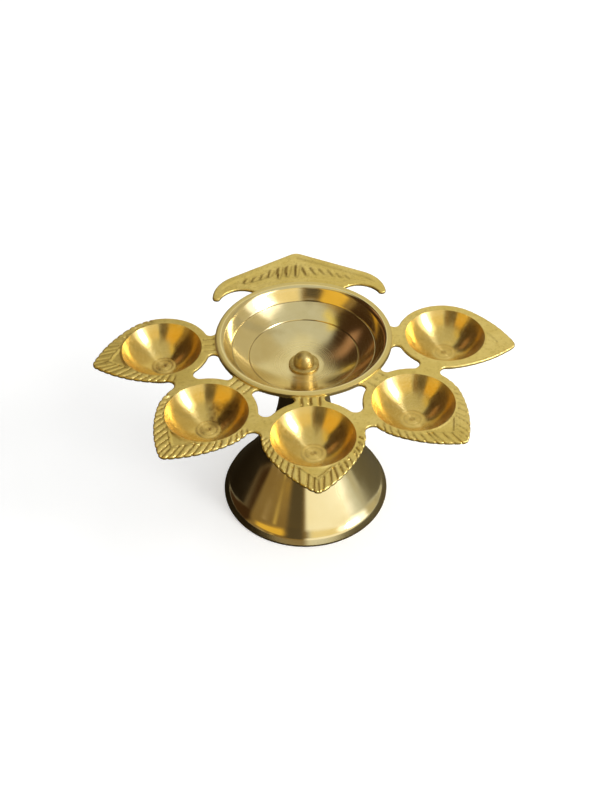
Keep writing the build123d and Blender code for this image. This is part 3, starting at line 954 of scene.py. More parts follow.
class Relief:
    """Height of the plate's upper face, and the masks that steer its carved lines."""

    def __init__(self, plan, loops):
        border, outward = joined(loops)
        tree = tree_of(border)
        nearest = np.array([tree.find((x, y, 0))[1] for x, y in plan])
        offset = plan - border[nearest]
        reach = np.hypot(*offset.T)
        inward = np.maximum(-(offset * outward[nearest]).sum(axis=1), 0)
        sideways = np.sqrt(np.maximum(reach ** 2 - inward ** 2, 0))
        self.distance = np.minimum(np.hypot(inward, np.maximum(sideways - BORDER_SLIP, 0)), reach)
        self.outward = outward[nearest]
        self.flute = np.zeros(len(plan))
        self.reed = np.zeros(len(plan))
        self.rise = np.zeros(len(plan))
        self.carve_leaves(plan)
        self.carve_necks(plan)
        self.carve_crest(plan)
        self.top = LEAF_TOP - rounded_drop(self.distance, EDGE_ROUND) + self.rise
        self.bottom = PLATE_BOTTOM + rounded_drop(self.distance, UNDER_ROUND)
        self.pull = -self.outward * (eased(-self.distance, -FLUTE_CUT_RUN, 0) * self.flute_zone)[:, None]

    def carve_leaves(self, plan):
        """Fluted band inside each leaf's free border, with a bead along it and a sunk field at the tip."""
        self.flute_zone = np.zeros(len(plan))
        for index, wear in enumerate(LEAF_WEAR):
            centre, turn = leaf_frame(index)
            local = (plan - centre) @ turn
            radius = np.hypot(*local.T)
            side = np.abs(local[:, 1])
            from_side = LEAF_SIDE_RADIUS - np.hypot(local[:, 0] - SIDE_X, side + SIDE_Y)
            from_back = LEAF_RADIUS - radius
            normal = np.degrees(np.arctan2(side + SIDE_Y, local[:, 0] - SIDE_X))
            border = np.where(normal < BACK_ANGLE, from_side, from_back)
            angle = np.degrees(np.arctan2(side, local[:, 0]))
            along = np.where(normal < BACK_ANGLE, 0, LEAF_RADIUS * np.radians(angle - BACK_ANGLE))
            mine = (border > -0.5) & (along < FLUTE_BACK)
            zone = wear * mine * eased(-along, -FLUTE_BACK, -FLUTE_BACK + FLUTE_FADE)
            off_lip = eased(radius, CUP_RADIUS + LIP_EDGE, CUP_RADIUS + LIP_MARGIN)
            band = 1 - eased(border, BAND_WIDTH + BAND_EDGE[0], BAND_WIDTH + BAND_EDGE[1])
            self.flute_zone = np.maximum(self.flute_zone, zone)
            self.flute = np.maximum(self.flute, zone * off_lip * band)
            tip = mine * eased(local[:, 0], *FIELD_START) * off_lip
            softness = WORN_FIELD + (1 - WORN_FIELD) * wear
            field = eased(border, BAND_WIDTH, BAND_WIDTH + FIELD_EASE)
            self.rise -= FIELD_DEPTH * softness * tip * field
            ridge = np.exp(-((border - BAND_WIDTH + BEAD_INSET) / BEAD_WIDTH) ** 2)
            self.rise += BEAD_HEIGHT * softness * tip * ridge

    def carve_necks(self, plan):
        """Where the reeds are cut: on each neck, clear of the rim and of the cup's lip."""
        for heading, wear in zip(LEAF_HEADINGS, REED_WEAR):
            ahead = plan @ ray(heading)
            beside = np.abs(plan @ ray(heading + 90))
            off_side = 1 - eased(beside - NECK_WIDTH / 2, *REED_SIDE_FADE)
            off_rim = eased(np.hypot(*plan.T) - RIM_RADIUS, *REED_RIM_FADE)
            off_lip = eased(cup_reach(plan) - CUP_RADIUS, LIP_EDGE, REED_LIP_MARGIN)
            on_neck = (ahead > 0) & (ahead < LEAF_DISTANCE)
            self.reed = np.maximum(self.reed, wear * on_neck * off_side * off_rim * off_lip)

    def carve_crest(self, plan):
        """Shallow panel on the crest inside a smooth margin."""
        above = plan[:, 1] > RIM_RADIUS * cos(radians(WING_TIP[0]))
        off_rim = np.hypot(*plan.T) - RIM_RADIUS
        panel = above * eased(self.distance, *PANEL_MARGIN) * eased(off_rim, *PANEL_RIM_MARGIN)
        self.rise -= PANEL_DEPTH * panel
        faded = 1 - (1 - PETAL_FADED) * eased(plan[:, 0], *PETAL_FADE)
        margin = eased(self.distance, *PETAL_MARGIN)
        self.petal = above * faded * margin * eased(off_rim, *PETAL_RIM_MARGIN)


def border_spot(along):
    """Point and normal of the leaf's border at a length from the tip."""
    for centre, radius, low, high in LEAF_STRETCHES:
        length = radius * radians(high - low)
        if along <= length:
            normal = ray(low + degrees(along / radius))
            return np.array(centre) + radius * normal, normal
        along -= length
    raise ValueError("beyond the leaf's back")


def flute_lines():
    """Grooves of the fluted borders: they run in from the border and lean back from the tip."""
    rng = np.random.default_rng(FLUTE_SEED)
    lines = []
    for index in range(len(LEAF_HEADINGS)):
        centre, turn = leaf_frame(index)
        for side in (1, -1):
            for k in range(FLUTE_COUNT):
                along = FLUTE_START + FLUTE_PITCH * (k + FLUTE_SCATTER * rng.uniform(-1, 1))
                lean = radians(FLUTE_LEAN + rng.uniform(-FLUTE_SWAY, FLUTE_SWAY))
                point, normal = border_spot(along)
                inward = -normal * cos(lean) + np.array((-normal[1], normal[0])) * sin(lean)
                outer_end = point - FLUTE_OVERRUN * inward
                ends = np.array((outer_end, point + BAND_WIDTH / cos(lean) * inward))
                lines.append(centre + (ends * (1, side)) @ turn.T)
    return lines


def vein_lines():
    """Fine lines on each leaf: one along the inner edge of its flutes, and one from there to the tip."""
    spots = [border_spot(along) for along in np.linspace(VEIN_START, VEIN_END, 12)]
    arm = np.array([point - VEIN_INSET * normal for point, normal in spots])
    arm = arm[arm[:, 1] > 0]
    apex = np.array((arm[0, 0] + arm[0, 1], 0.0))
    chevron = np.concatenate([arm[::-1] * (1, -1), [apex], arm])
    stalk = np.array((apex, (LEAF_LENGTH + 0.5, 0.0)))
    lines = []
    for index in range(len(LEAF_HEADINGS)):
        centre, turn = leaf_frame(index)
        lines += [centre + chevron @ turn.T, centre + stalk @ turn.T]
    return lines


def reed_lines():
    """Grooves along each neck from the rim to the cup."""
    lines = []
    for heading in LEAF_HEADINGS:
        ends = np.array((RIM_RADIUS * ray(heading), (LEAF_DISTANCE - CUP_RADIUS) * ray(heading)))
        lines += [ends + k * REED_SPACING * ray(heading + 90) for k in (-1, 0, 1)]
    return lines


def petal_places():
    """Number, middle, lean and half length of each petal on the crest: hand cut, so none quite matches."""
    rng = np.random.default_rng(PETAL_SEED)
    for k in range(-PETAL_COUNT, PETAL_COUNT + 1):
        slip, tilt, stretch = rng.uniform(-1, 1, 3) * PETAL_JITTER
        middle = (PETAL_RING + slip) * ray(90 - k * PETAL_PITCH)
        half = (PETAL_LENGTH - abs(k) * PETAL_SHRINK) / 2 * (1 + stretch)
        yield k, middle, k * PETAL_LEAN + tilt, half


def petal_lines():
    """Middle lines of the crest's petals, which droop outwards from the middle."""
    lines = []
    for _, middle, lean, half in petal_places():
        upward = ray(90 + lean)
        ridge = half - PETAL_REACH / 2
        lines.append(np.array((middle - ridge * upward, middle + ridge * upward)))
    return lines


def petal_edges():
    """Grooves that outline each petal: down its inner side, round its foot and partly up the outer side."""
    lines = []
    for k, middle, lean, half in petal_places():
        bow = np.linspace(-1, 1, 11) if k == 0 else np.linspace(-1, PETAL_HOOK, 9) * np.sign(k)
        rise = half * (2 * bow ** 2 - 1)
        # Blunt at the foot and drawn in towards the top
        width = PETAL_HALF_WIDTH * np.sign(bow) * np.abs(bow) ** 0.7 * (1 - 0.25 * np.abs(bow) ** 3)
        lines.append(middle + rise[:, None] * ray(90 + lean) + width[:, None] * ray(lean))
    return lines


def line_object(name, lines):
    """Loose chains of edges at the height of the plate's face."""
    points = np.concatenate(lines)
    heights = np.full((len(points), 1), LEAF_TOP)
    edges, start = [], 0
    for line in lines:
        edges += [(start + k, start + k + 1) for k in range(len(line) - 1)]
        start += len(line)
    mesh = bpy.data.meshes.new(name)
    mesh.from_pydata((np.hstack([points, heights]) * MM).tolist(), edges, [])
    guide = bpy.data.objects.new(name, mesh)
    bpy.context.scene.collection.objects.link(guide)
    return guide


def named_inputs(sheet, kinds):
    """Gives a node tree its named inputs and its output; returns the inputs' sockets."""
    for name, kind in kinds:
        sheet.tree.interface.new_socket(name, in_out="INPUT", socket_type=f"NodeSocket{kind}")
    sheet.tree.interface.new_socket("Geometry", in_out="OUTPUT", socket_type="NodeSocketGeometry")
    return sheet.add("NodeGroupInput").outputs


def stored(sheet, name, kind="FLOAT"):
    """Attribute of the mesh, by its name or by a socket that holds it."""
    return sheet.add("GeometryNodeInputNamedAttribute", {"Name": name}, data_type=kind).outputs[0]


def relief_tree():
    """Geometry nodes that raise or sink a face along guide lines, and notch its edge beside them."""
    tree = bpy.data.node_groups.new("relief along lines", "GeometryNodeTree")
    sheet = Sheet(tree)
    given = named_inputs(sheet, (
        ("Geometry", "Geometry"), ("Lines", "Object"), ("Reach", "Float"), ("Rise", "Float"),
        ("Flatness", "Float"), ("Sharpness", "Float"), ("Notch", "Float"), ("Mask", "String"),
        ("Finish", "Material")))
    guide = sheet.add("GeometryNodeObjectInfo", {"Object": given["Lines"]}).outputs["Geometry"]
    spot = sheet.add("ShaderNodeSeparateXYZ", {0: sheet.add("GeometryNodeInputPosition").outputs[0]}).outputs
    flat = sheet.add("ShaderNodeCombineXYZ", {"X": spot["X"], "Y": spot["Y"], "Z": LEAF_TOP * MM}).outputs[0]
    wires = {"Geometry": guide, "Sample Position": flat}
    gap = sheet.add("GeometryNodeProximity", wires, target_element="EDGES").outputs["Distance"]
    share = sheet.math("DIVIDE", gap, given["Reach"], clamp=True)
    flank = sheet.math("SUBTRACT", 1.0, sheet.math("POWER", share, given["Flatness"]))
    shape = sheet.math("POWER", flank, given["Sharpness"])
    depth = sheet.math("MULTIPLY", shape, stored(sheet, given["Mask"]))
    lift = sheet.add("ShaderNodeCombineXYZ", {"Z": sheet.math("MULTIPLY", depth, given["Rise"])}).outputs[0]
    cut = sheet.math("MULTIPLY", shape, given["Notch"])
    notch = sheet.vector("SCALE", stored(sheet, "pull", "FLOAT_VECTOR"), cut)
    move = sheet.vector("ADD", lift, notch)
    moved = sheet.add("GeometryNodeSetPosition", {"Geometry": given["Geometry"], "Offset": move}).outputs[0]
    # Sunk cuts keep their depth as hollow, which the materials darken as painted shade
    sunk = sheet.math("GREATER_THAN", 0.0, given["Rise"])
    sunken = sheet.math("MULTIPLY", sheet.math("POWER", depth, HOLLOW_SHARPNESS), sunk)
    hollow = sheet.math("MAXIMUM", stored(sheet, "hollow"), sunken)
    wires = {"Geometry": moved, "Name": "hollow", "Value": hollow}
    kept = sheet.add("GeometryNodeStoreNamedAttribute", wires, data_type="FLOAT", domain="POINT").outputs[0]
    whole = sheet.add("GeometryNodeRealizeInstances", {"Geometry": kept}).outputs[0]
    wires = {"Geometry": whole, "Selection": stored(sheet, "cast", "BOOLEAN"), "Material": given["Finish"]}
    done = sheet.add("GeometryNodeSetMaterial", wires).outputs[0]
    sheet.add("NodeGroupOutput", {"Geometry": done})
    return tree


def add_nodes(piece, tree, values):
    """Adds a node modifier and sets the inputs that are named, each by its socket's identifier."""
    modifier = piece.modifiers.new(tree.name, "NODES")
    modifier.node_group = tree
    for item in tree.interface.items_tree:
        if item.in_out == "INPUT" and item.name in values:
            modifier[item.identifier] = values[item.name]


def bake(piece):
    """Turns a piece's evaluated modifiers into its plain mesh."""
    depsgraph = bpy.context.evaluated_depsgraph_get()
    mesh = bpy.data.meshes.new_from_object(piece.evaluated_get(depsgraph), preserve_all_data_layers=True,
                                           depsgraph=depsgraph)
    piece.modifiers.clear()
    piece.data = mesh
    finish_faces(mesh)


def scribed(profile_radius, centre_height, ball_radius):
    """Narrow groove turned into the dish at a radius."""
    half = SCRIBE_WIDTH / 2
    spots = ((profile_radius + half, 0), (profile_radius, SCRIBE_DEPTH, True), (profile_radius - half, 0))
    groove = []
    for radius, depth, *mark in spots:
        groove.append((radius, centre_height - sqrt(ball_radius ** 2 - radius ** 2) - depth, *mark))
    return groove


def bowl_profiles():
    """Rim, inside and outside of the bowl as profiles from the rim's foot to the plate's underside."""
    step = (BOWL_STEP_RADIUS, STEP_HEIGHT)
    seat = (BOWL_FLOOR_RADIUS, FLOOR_HEIGHT)
    centre = ball_height(step, seat)
    ball = hypot(step[0], step[1] - centre)
    corner = CORNER_SHARE * RIM_SOFT
    rim = [(RIM_RADIUS, RIM_TOP - RIM_SOFT), (RIM_RADIUS - corner, RIM_TOP - corner)]
    rim += [(RIM_RADIUS - RIM_SOFT, RIM_TOP), (RIM_RADIUS - RIM_WIDTH / 3, RIM_TOP)]
    rim.append((RIM_INNER + RIM_SHOULDER, RIM_TOP))
    band = []
    for t in np.linspace(0.15, 1, 8):
        band.append((RIM_INNER + RIM_SHOULDER * (1 - t), RIM_TOP - RIM_LIP_DROP * t ** 2))
    bow = BAND_BOW / hypot(BOWL_STEP_WIDTH, BOWL_STEP_DEPTH)
    for t in np.linspace(0.16, 0.965, 14):
        swell = 4 * t * (1 - t) * bow
        radius = RIM_INNER - t * BOWL_STEP_WIDTH + swell * BOWL_STEP_DEPTH
        band.append((radius, RIM_TOP - t * BOWL_STEP_DEPTH - swell * BOWL_STEP_WIDTH))
    half = SCRIBE_WIDTH / 2
    clear = half + SCRIBE_MARGIN
    dish = [(step[0], step[1] - SCRIBE_DEPTH, True)]
    dish += arc_profile(centre, ball, step[0] - half, SCRIBED_RADIUS + clear, 12)
    dish += scribed(SCRIBED_RADIUS, centre, ball)
    dish += arc_profile(centre, ball, SCRIBED_RADIUS - clear, seat[0], 22)
    floor = [(seat[0] - BOWL_FLOOR_EASE, FLOOR_HEIGHT), (HOLE_RADIUS, FLOOR_HEIGHT)]
    outer_ball = ball + BOWL_WALL
    outer_step = (step[0] * outer_ball / ball, centre + (step[1] - centre) * outer_ball / ball)
    boss = centre - sqrt(outer_ball ** 2 - SEAT_RADIUS ** 2)
    under = [(HOLE_RADIUS, SEAT_HEIGHT), (SEAT_RADIUS - SEAT_SOFT, SEAT_HEIGHT)]
    under += [(SEAT_RADIUS, SEAT_HEIGHT + SEAT_SOFT), (SEAT_RADIUS, boss)]
    under += arc_profile(centre, outer_ball, SEAT_RADIUS + 0.4, outer_step[0], 22)
    return rim, band + dish + floor, under


def under_bowl_radius():
    """Radius at which the outside of the bowl meets the plate's underside."""
    angle = atan2(BOWL_STEP_DEPTH, BOWL_STEP_WIDTH)
    return RIM_INNER - RIM_THICKNESS / tan(angle) + BOWL_WALL / sin(angle)


def cup_profiles():
    """Inside and outside of a cup, from the lip to the axis and from the axis to the plate's underside."""
    lip = (CUP_RADIUS, LEAF_TOP)
    floor = (CUP_FLOOR_RADIUS, LEAF_TOP - CUP_DEPTH)
    centre = ball_height(lip, floor)
    ball = hypot(lip[0], lip[1] - centre)
    inside_points = arc_profile(centre, ball, CUP_RADIUS - CUP_LIP_SOFT, CUP_FLOOR_RADIUS, 20)
    for radius in CUP_RINGS:
        groove = (radius, floor[1] - CUP_RING_DEPTH, True)
        inside_points += [(radius + CUP_RING_HALF, floor[1]), groove, (radius - CUP_RING_HALF, floor[1])]
    inside_points += [(radius, floor[1] - depth) for radius, depth in CUP_DIMPLE]
    outer = ball + CUP_WALL
    base = floor[1] - CUP_WALL
    base_edge = sqrt(outer ** 2 - (centre - base) ** 2)
    meet = sqrt(outer ** 2 - (centre - PLATE_BOTTOM) ** 2)
    outside_points = [(0, base), (base_edge / 2, base)]
    outside_points += [(base_edge - CUP_BASE_SOFT, base), (base_edge, base + CUP_BASE_LIFT)]
    outside_points += arc_profile(centre, outer, base_edge + CUP_BASE_SOFT, meet - CUP_MEET_SOFT, 14)
    return inside_points, outside_points, meet


def leaf_plate():
    """The casting as one closed mesh."""
    loops = plan_loops()
    cup_inside, cup_outside, under_cup = cup_profiles()
    plan, triangles, rings = plan_mesh(loops, under_bowl_radius(), under_cup)
    relief = Relief(plan, loops)
    shell = Shell()
    top = shell.add_points(np.c_[plan, relief.top])
    bottom = shell.add_points(np.c_[plan, relief.bottom])
    centres = plan[triangles].mean(axis=1)
    above = np.hypot(*centres.T) > RIM_RADIUS * cos(pi / RIM_SEGMENTS)
    below = cup_reach(centres) > under_cup * cos(pi / CUP_SEGMENTS)
    for corners, upper, lower in zip(triangles.tolist(), above, below):
        if upper:
            shell.add_face([top[k] for k in corners], CAST)
        if lower:
            shell.add_face([bottom[k] for k in reversed(corners)], CAST)
    for number in range(len(loops)):
        ring = rings[f"loop{number}"]
        for a, b in zip(ring, ring[1:] + ring[:1]):
            shell.add_face([top[a], bottom[a], bottom[b], top[b]], CAST)
    cast_count = len(shell.faces)
    angles = [angle for angle in rim_angles() if angle >= 0]
    rim, dish, under = bowl_profiles()
    rim_end = shell.spin(rim, angles, finish=RIM, first=[top[k] for k in rings["rim"]])[1]
    dish_end = shell.spin(dish, angles, finish=BOWL, first=rim_end)[1]
    shell.spin(under, angles, finish=CAST, first=dish_end, last=[bottom[k] for k in rings["bowl"]])
    cup_angles = even_angles(CUP_SEGMENTS)
    for index, centre in enumerate(cup_centres()):
        shell.spin(cup_inside, cup_angles, centre, CUP, first=[top[k] for k in rings[f"lip{index}"]])
        shell.spin(cup_outside, cup_angles, centre, CAST, last=[bottom[k] for k in rings[f"cup{index}"]])
    mesh = shell.mesh("leaf plate")
    store_masks(mesh, shell, relief, len(plan), cast_count)
    materials = [cast_brass(), turned_cup_brass(), polished_bowl_brass(), rim_brass()]
    piece = place_piece(mesh, "leaf_plate_casting", materials)
    carve(piece, materials[CAST])
    return piece


def store_masks(mesh, shell, relief, count, cast_count):
    """Point and face attributes that the relief nodes read; only the upper face is carved."""
    for name in ("flute", "reed", "petal", "hollow"):
        values = np.zeros(len(shell.points))
        # Marked rings of the turned and scribed grooves count as full hollow, for painted shade
        if name == "hollow":
            values[shell.marked] = 1
        else:
            values[:count] = getattr(relief, name)
        mesh.attributes.new(name, "FLOAT", "POINT").data.foreach_set("value", values)
    pull = np.zeros((len(shell.points), 3))
    pull[:count, :2] = relief.pull
    pull[count:2 * count, :2] = relief.pull
    mesh.attributes.new("pull", "FLOAT_VECTOR", "POINT").data.foreach_set("vector", pull.ravel())
    cast = np.zeros(len(shell.faces), bool)
    cast[:cast_count] = True
    mesh.attributes.new("cast", "BOOLEAN", "FACE").data.foreach_set("value", cast)


def carve(piece, finish):
    """Cuts flutes, neck grooves and petals into the casting and bakes them."""
    tree = relief_tree()
    # Name, lines, mask, rise, reach, flatness, sharpness and notch of each cut
    steps = (
        ("flutes", flute_lines(), "flute", -FLUTE_DEPTH, FLUTE_REACH, 1.0, 1.6, FLUTE_CUT),
        ("veins", vein_lines(), "flute", -VEIN_DEPTH, VEIN_REACH, 1.0, 1.4, 0.0),
        ("reeds", reed_lines(), "reed", -REED_DEPTH, REED_REACH, 1.0, 1.7, 0.0),
        ("petals", petal_lines(), "petal", PETAL_HEIGHT, PETAL_REACH, 2.0, 1.0, 0.0),
        ("petal edges", petal_edges(), "petal", -PETAL_GROOVE, PETAL_GROOVE_REACH, 1.0, 1.4, 0.0),
    )
    guides = []
    for name, lines, mask, rise, reach, flatness, sharpness, notch in steps:
        guide = line_object(name, lines)
        guides.append(guide)
        add_nodes(piece, tree, {"Lines": guide, "Reach": reach * MM, "Rise": rise * MM, "Flatness": flatness,
                                "Sharpness": sharpness, "Notch": notch * MM, "Mask": mask, "Finish": finish})
    bake(piece)
    for guide in guides:
        bpy.data.objects.remove(guide)


# Bell pedestal

def bell_flank(wall):
    """Where the bell's cone meets its flare, the flare's centre and radius, and the cone's slope."""
    centre = (NECK_RADIUS + FLARE_RADIUS, SEAT_HEIGHT - NECK_DROP)
    reach = hypot(CONE_RUN, FLARE_RADIUS)
    heading = atan2(centre[1] - CONE_FOOT[1], centre[0] - CONE_FOOT[0]) + asin(FLARE_RADIUS / reach)
    touch = (CONE_FOOT[0] + CONE_RUN * cos(heading), CONE_FOOT[1] + CONE_RUN * sin(heading))
    normal = ((touch[0] - centre[0]) / FLARE_RADIUS, (touch[1] - centre[1]) / FLARE_RADIUS)
    moved = (touch[0] + normal[0] * wall, touch[1] + normal[1] * wall)
    return moved, centre, FLARE_RADIUS + wall, cos(heading) / sin(heading)


def flare_points(touch, centre, radius, end_height, count):
    """Points up the flare from its tangent point to a height."""
    first = atan2(touch[1] - centre[1], touch[0] - centre[0]) % (2 * pi)
    last = pi - asin((end_height - centre[1]) / radius)
    turns = np.linspace(first, last, count)
    return [(centre[0] + radius * cos(turn), centre[1] + radius * sin(turn)) for turn in turns]


def steps_between(start, end, count):
    """Points of a straight profile run, without its first one."""
    start, run = np.array(start), np.array(end) - np.array(start)
    return [tuple(start + run * k / count) for k in range(1, count + 1)]


def neck_points(neck, seat_foot, count):
    """Arc that leaves the neck upright and flares out to the seat."""
    run, climb = seat_foot[0] - neck[0], seat_foot[1] - neck[1]
    radius = (run ** 2 + climb ** 2) / (2 * run)
    turns = np.linspace(0, asin(climb / radius), count)[1:]
    return [(neck[0] + radius * (1 - cos(turn)), neck[1] + radius * sin(turn)) for turn in turns]


def bell():
    """Spun bell as one closed profile: foot lip, band, cone, flare, neck, seat and the hollow inside."""
    touch, centre, radius, slope = bell_flank(0)
    neck_height = SEAT_HEIGHT - NECK_DROP
    inner_touch, inner_centre, inner_radius, inner_slope = bell_flank(BELL_WALL)
    mouth = inner_touch[0] - inner_touch[1] * inner_slope
    outside = [(mouth + FOOT_SOFT, 0), (FOOT_RADIUS - FOOT_SOFT, 0), (FOOT_RADIUS - FOOT_CORNER, FOOT_CORNER)]
    lip_end = (FOOT_RADIUS - LIP_STEP[0], FOOT_LIP + LIP_STEP[1])
    outside += [(FOOT_RADIUS, FOOT_SOFT), (FOOT_RADIUS, FOOT_LIP - LIP_SOFT), lip_end]
    crease = (FOOT_RADIUS - BAND_TAPER + CREASE_SOFT[0], BAND_HEIGHT - CREASE_SOFT[1])
    cone_foot = (CONE_FOOT[0] + CREASE_RUN * slope, BAND_HEIGHT + CREASE_RUN)
    outside += steps_between(lip_end, crease, 4)
    outside += steps_between(crease, cone_foot, 3)
    outside += steps_between(cone_foot, touch, 10)
    outside += flare_points(touch, centre, radius, neck_height, 40)[1:]
    seat_foot = (SEAT_RADIUS, SEAT_HEIGHT - SEAT_EDGE)
    outside += neck_points((NECK_RADIUS, neck_height), seat_foot, 12)
    seat_top = SEAT_HEIGHT - SEAT_CLEARANCE
    outside += [(SEAT_RADIUS, SEAT_HEIGHT - BELL_SEAT_SOFT), (SEAT_RADIUS - BELL_SEAT_SOFT, seat_top)]
    outside.append((HOLE_RADIUS, seat_top))
    ceiling = SEAT_HEIGHT - BELL_TOP
    shaft = NECK_RADIUS - BELL_WALL
    hollow = [(HOLE_RADIUS, ceiling), (shaft - CEILING_SOFT, ceiling), (shaft, ceiling - CEILING_SOFT)]
    hollow += list(reversed(flare_points(inner_touch, inner_centre, inner_radius, neck_height, 24)))
    hollow += steps_between(inner_touch, (mouth, FOOT_SOFT), 8)
    shell = Shell()
    first, last = shell.spin(outside + hollow, even_angles(BELL_SEGMENTS))
    shell.skin(last, first, 0, CLOSING_RUN, 0)
    return place_piece(shell.mesh("bell"), "bell_pedestal", [mirror_bell_brass()])


# Clamp

def turned_ring(name, profile, material):
    """Closed ring turned from a profile that comes back to its start."""
    shell = Shell()
    first, last = shell.spin(profile, even_angles(SMALL_SEGMENTS))
    shell.skin(last, first, 0, CLOSING_RUN, 0)
    return place_piece(shell.mesh(name), name, [material])


def washer_profile(bore, radius, low, high, soft):
    """Section of a washer with softened edges."""
    corner = CORNER_SHARE * soft
    return [(bore, low), (radius - soft, low), (radius, low + soft), (radius, high - soft),
            (radius - corner, high - corner), (radius - soft, high), (bore + soft, high), (bore, high - soft)]


def dome_nut(material):
    """Blind nut: short skirt, half-ball top and the bore that takes the stud."""
    radius, low, top = dome_high[0], dome_low[2], dome_high[2]
    shoulder = top - radius
    bore = stud_high[0] + THREAD_CLEARANCE
    depth = stud_high[2] + DOME_BLIND_GAP
    profile = [(0, depth), (bore * 0.6, depth), (bore, depth), (bore, low + DOME_BORE_CHAMFER)]
    profile += [(bore + DOME_BORE_CHAMFER, low), (radius - DOME_SKIRT_SOFT, low)]
    profile.append((radius, low + DOME_SKIRT_SOFT))
    profile += [(radius * cos(a), shoulder + radius * sin(a)) for a in np.linspace(0, pi / 2, 20)[:-1]]
    profile.append((0, top))
    shell = Shell()
    shell.spin(profile, even_angles(SMALL_SEGMENTS))
    return place_piece(shell.mesh("dome nut"), "dome_nut_cap", [material])


def thread_tree():
    """Geometry nodes for a threaded rod: a core, and a ridge that climbs round it."""
    tree = bpy.data.node_groups.new("threaded rod", "GeometryNodeTree")
    sheet = Sheet(tree)
    given = named_inputs(sheet, (("Core Radius", "Float"), ("Length", "Float"), ("Base", "Float"),
                                 ("Turns", "Float"), ("Ridge", "Float"), ("Finish", "Material")))
    radius = given["Core Radius"]
    wires = {"Vertices": 48, "Side Segments": 1, "Radius": radius, "Depth": given["Length"]}
    core = sheet.add("GeometryNodeMeshCylinder", wires).outputs["Mesh"]
    middle = sheet.math("ADD", given["Base"], sheet.math("DIVIDE", given["Length"], 2.0))
    core_place = sheet.add("ShaderNodeCombineXYZ", {"Z": middle}).outputs[0]
    stood = sheet.add("GeometryNodeTransform", {"Geometry": core, "Translation": core_place}).outputs[0]
    climb = sheet.math("SUBTRACT", given["Length"], sheet.math("MULTIPLY", given["Ridge"], 4.0))
    wires = {"Resolution": 32, "Rotations": given["Turns"], "Height": climb,
             "Start Radius": radius, "End Radius": radius}
    spiral = sheet.add("GeometryNodeCurveSpiral", wires).outputs[0]
    start = sheet.math("ADD", given["Base"], sheet.math("MULTIPLY", given["Ridge"], 2.0))
    spiral_place = sheet.add("ShaderNodeCombineXYZ", {"Z": start}).outputs[0]
    raised = sheet.add("GeometryNodeTransform", {"Geometry": spiral, "Translation": spiral_place}).outputs[0]
    wires = {"Resolution": 4, "Radius": given["Ridge"]}
    section = sheet.add("GeometryNodeCurvePrimitiveCircle", wires).outputs[0]
    wires = {"Curve": raised, "Profile Curve": section, "Fill Caps": True}
    ridge = sheet.add("GeometryNodeCurveToMesh", wires).outputs[0]
    both = sheet.add("GeometryNodeJoinGeometry")
    for part in (stood, ridge):
        tree.links.new(part, both.inputs[0])
    whole = sheet.add("GeometryNodeRealizeInstances", {"Geometry": both.outputs[0]}).outputs[0]
    done = sheet.add("GeometryNodeSetMaterial", {"Geometry": whole, "Material": given["Finish"]}).outputs[0]
    sheet.add("NodeGroupOutput", {"Geometry": done})
    return tree


def clamp_stud(material):
    """Threaded stud, at the frame's own length and outer radius."""
    length = stud_high[2] - stud_low[2]
    piece = bpy.data.objects.new("clamp_stud_rod", bpy.data.meshes.new("clamp stud"))
    bpy.context.scene.collection.objects.link(piece)
    turns = (length - 4 * STUD_RIDGE) / STUD_PITCH
    add_nodes(piece, thread_tree(), {"Core Radius": (stud_high[0] - STUD_RIDGE) * MM, "Length": length * MM,
                                     "Base": stud_low[2] * MM, "Turns": turns, "Ridge": STUD_RIDGE * MM,
                                     "Finish": material})
    bake(piece)
    piece.data.uv_layers.new(name="lathe")
    return piece


def hex_nut(material):
    """Hex nut with chamfered corners on the X axis, as in the frame, and a bore for the stud."""
    low, high = node_box("hex_nut")
    flats = high[1]
    corner = flats / cos(radians(30))
    bore = stud_high[0] + THREAD_CLEARANCE
    face = flats - HEX_FACE_INSET
    angles = np.array(even_angles(HEX_SEGMENTS))
    outer = flats / np.cos(np.radians(angles % 60 - 30))
    over = ((outer - flats) / (corner - flats)).clip(0)
    cut = HEX_CHAMFER * (HEX_FLAT_SHARE + over ** HEX_CHAMFER_BOW)
    shell = Shell()

    def ring(radius, height):
        turns = np.radians(angles)
        heights = np.broadcast_to(height, angles.shape)
        return shell.add_points(np.c_[radius * np.cos(turns), radius * np.sin(turns), heights])

    rows = [
        ring(bore, low[2] + HEX_BORE_CHAMFER),
        ring(bore + HEX_BORE_CHAMFER, low[2]),
        ring(face, low[2]),
        ring(outer, low[2] + cut),
        ring(outer, high[2] - cut),
        ring(face, high[2]),
        ring(bore + HEX_BORE_CHAMFER, high[2]),
        ring(bore, high[2] - HEX_BORE_CHAMFER),
    ]
    for lower, upper in zip(rows, rows[1:] + rows[:1]):
        shell.skin(lower, upper, 0, FLAT_RUN, 0)
    return place_piece(shell.mesh("hex nut"), "hex_nut_body", [material])


def spring_washer(material):
    """Split ring with square ends at the slit."""
    low, high = node_box("spring_washer")
    radius = high[1]
    half = degrees(asin(SPRING_SLIT / 2 / radius))
    section = washer_profile(HOLE_RADIUS, radius, low[2], high[2], SPRING_WASHER_SOFT)
    shell = Shell()
    rows = []
    for angle in np.linspace(half, 360 - half, SPRING_SEGMENTS):
        x, y = ray(angle)
        rows.append(shell.add_points((reach * x, reach * y, height) for reach, height in section))
    for near, far in zip(rows, rows[1:]):
        shell.skin(far, near, 0, FLAT_RUN, 0)
    shell.add_face(rows[0], 0)
    shell.add_face(rows[-1][::-1], 0)
    return place_piece(shell.mesh("spring washer"), "spring_washer_split", [material])


# Studio

def plain_material(name):
    """Empty material and its sheet."""
    material = bpy.data.materials.new(name)
    material.use_nodes = True
    material.node_tree.nodes.clear()
    return material, Sheet(material.node_tree)


def direction(azimuth, elevation):
    """Unit direction from the studio's centre."""
    lift, swing = radians(elevation), radians(azimuth)
    return np.array((cos(lift) * cos(swing), cos(lift) * sin(swing), sin(lift)))


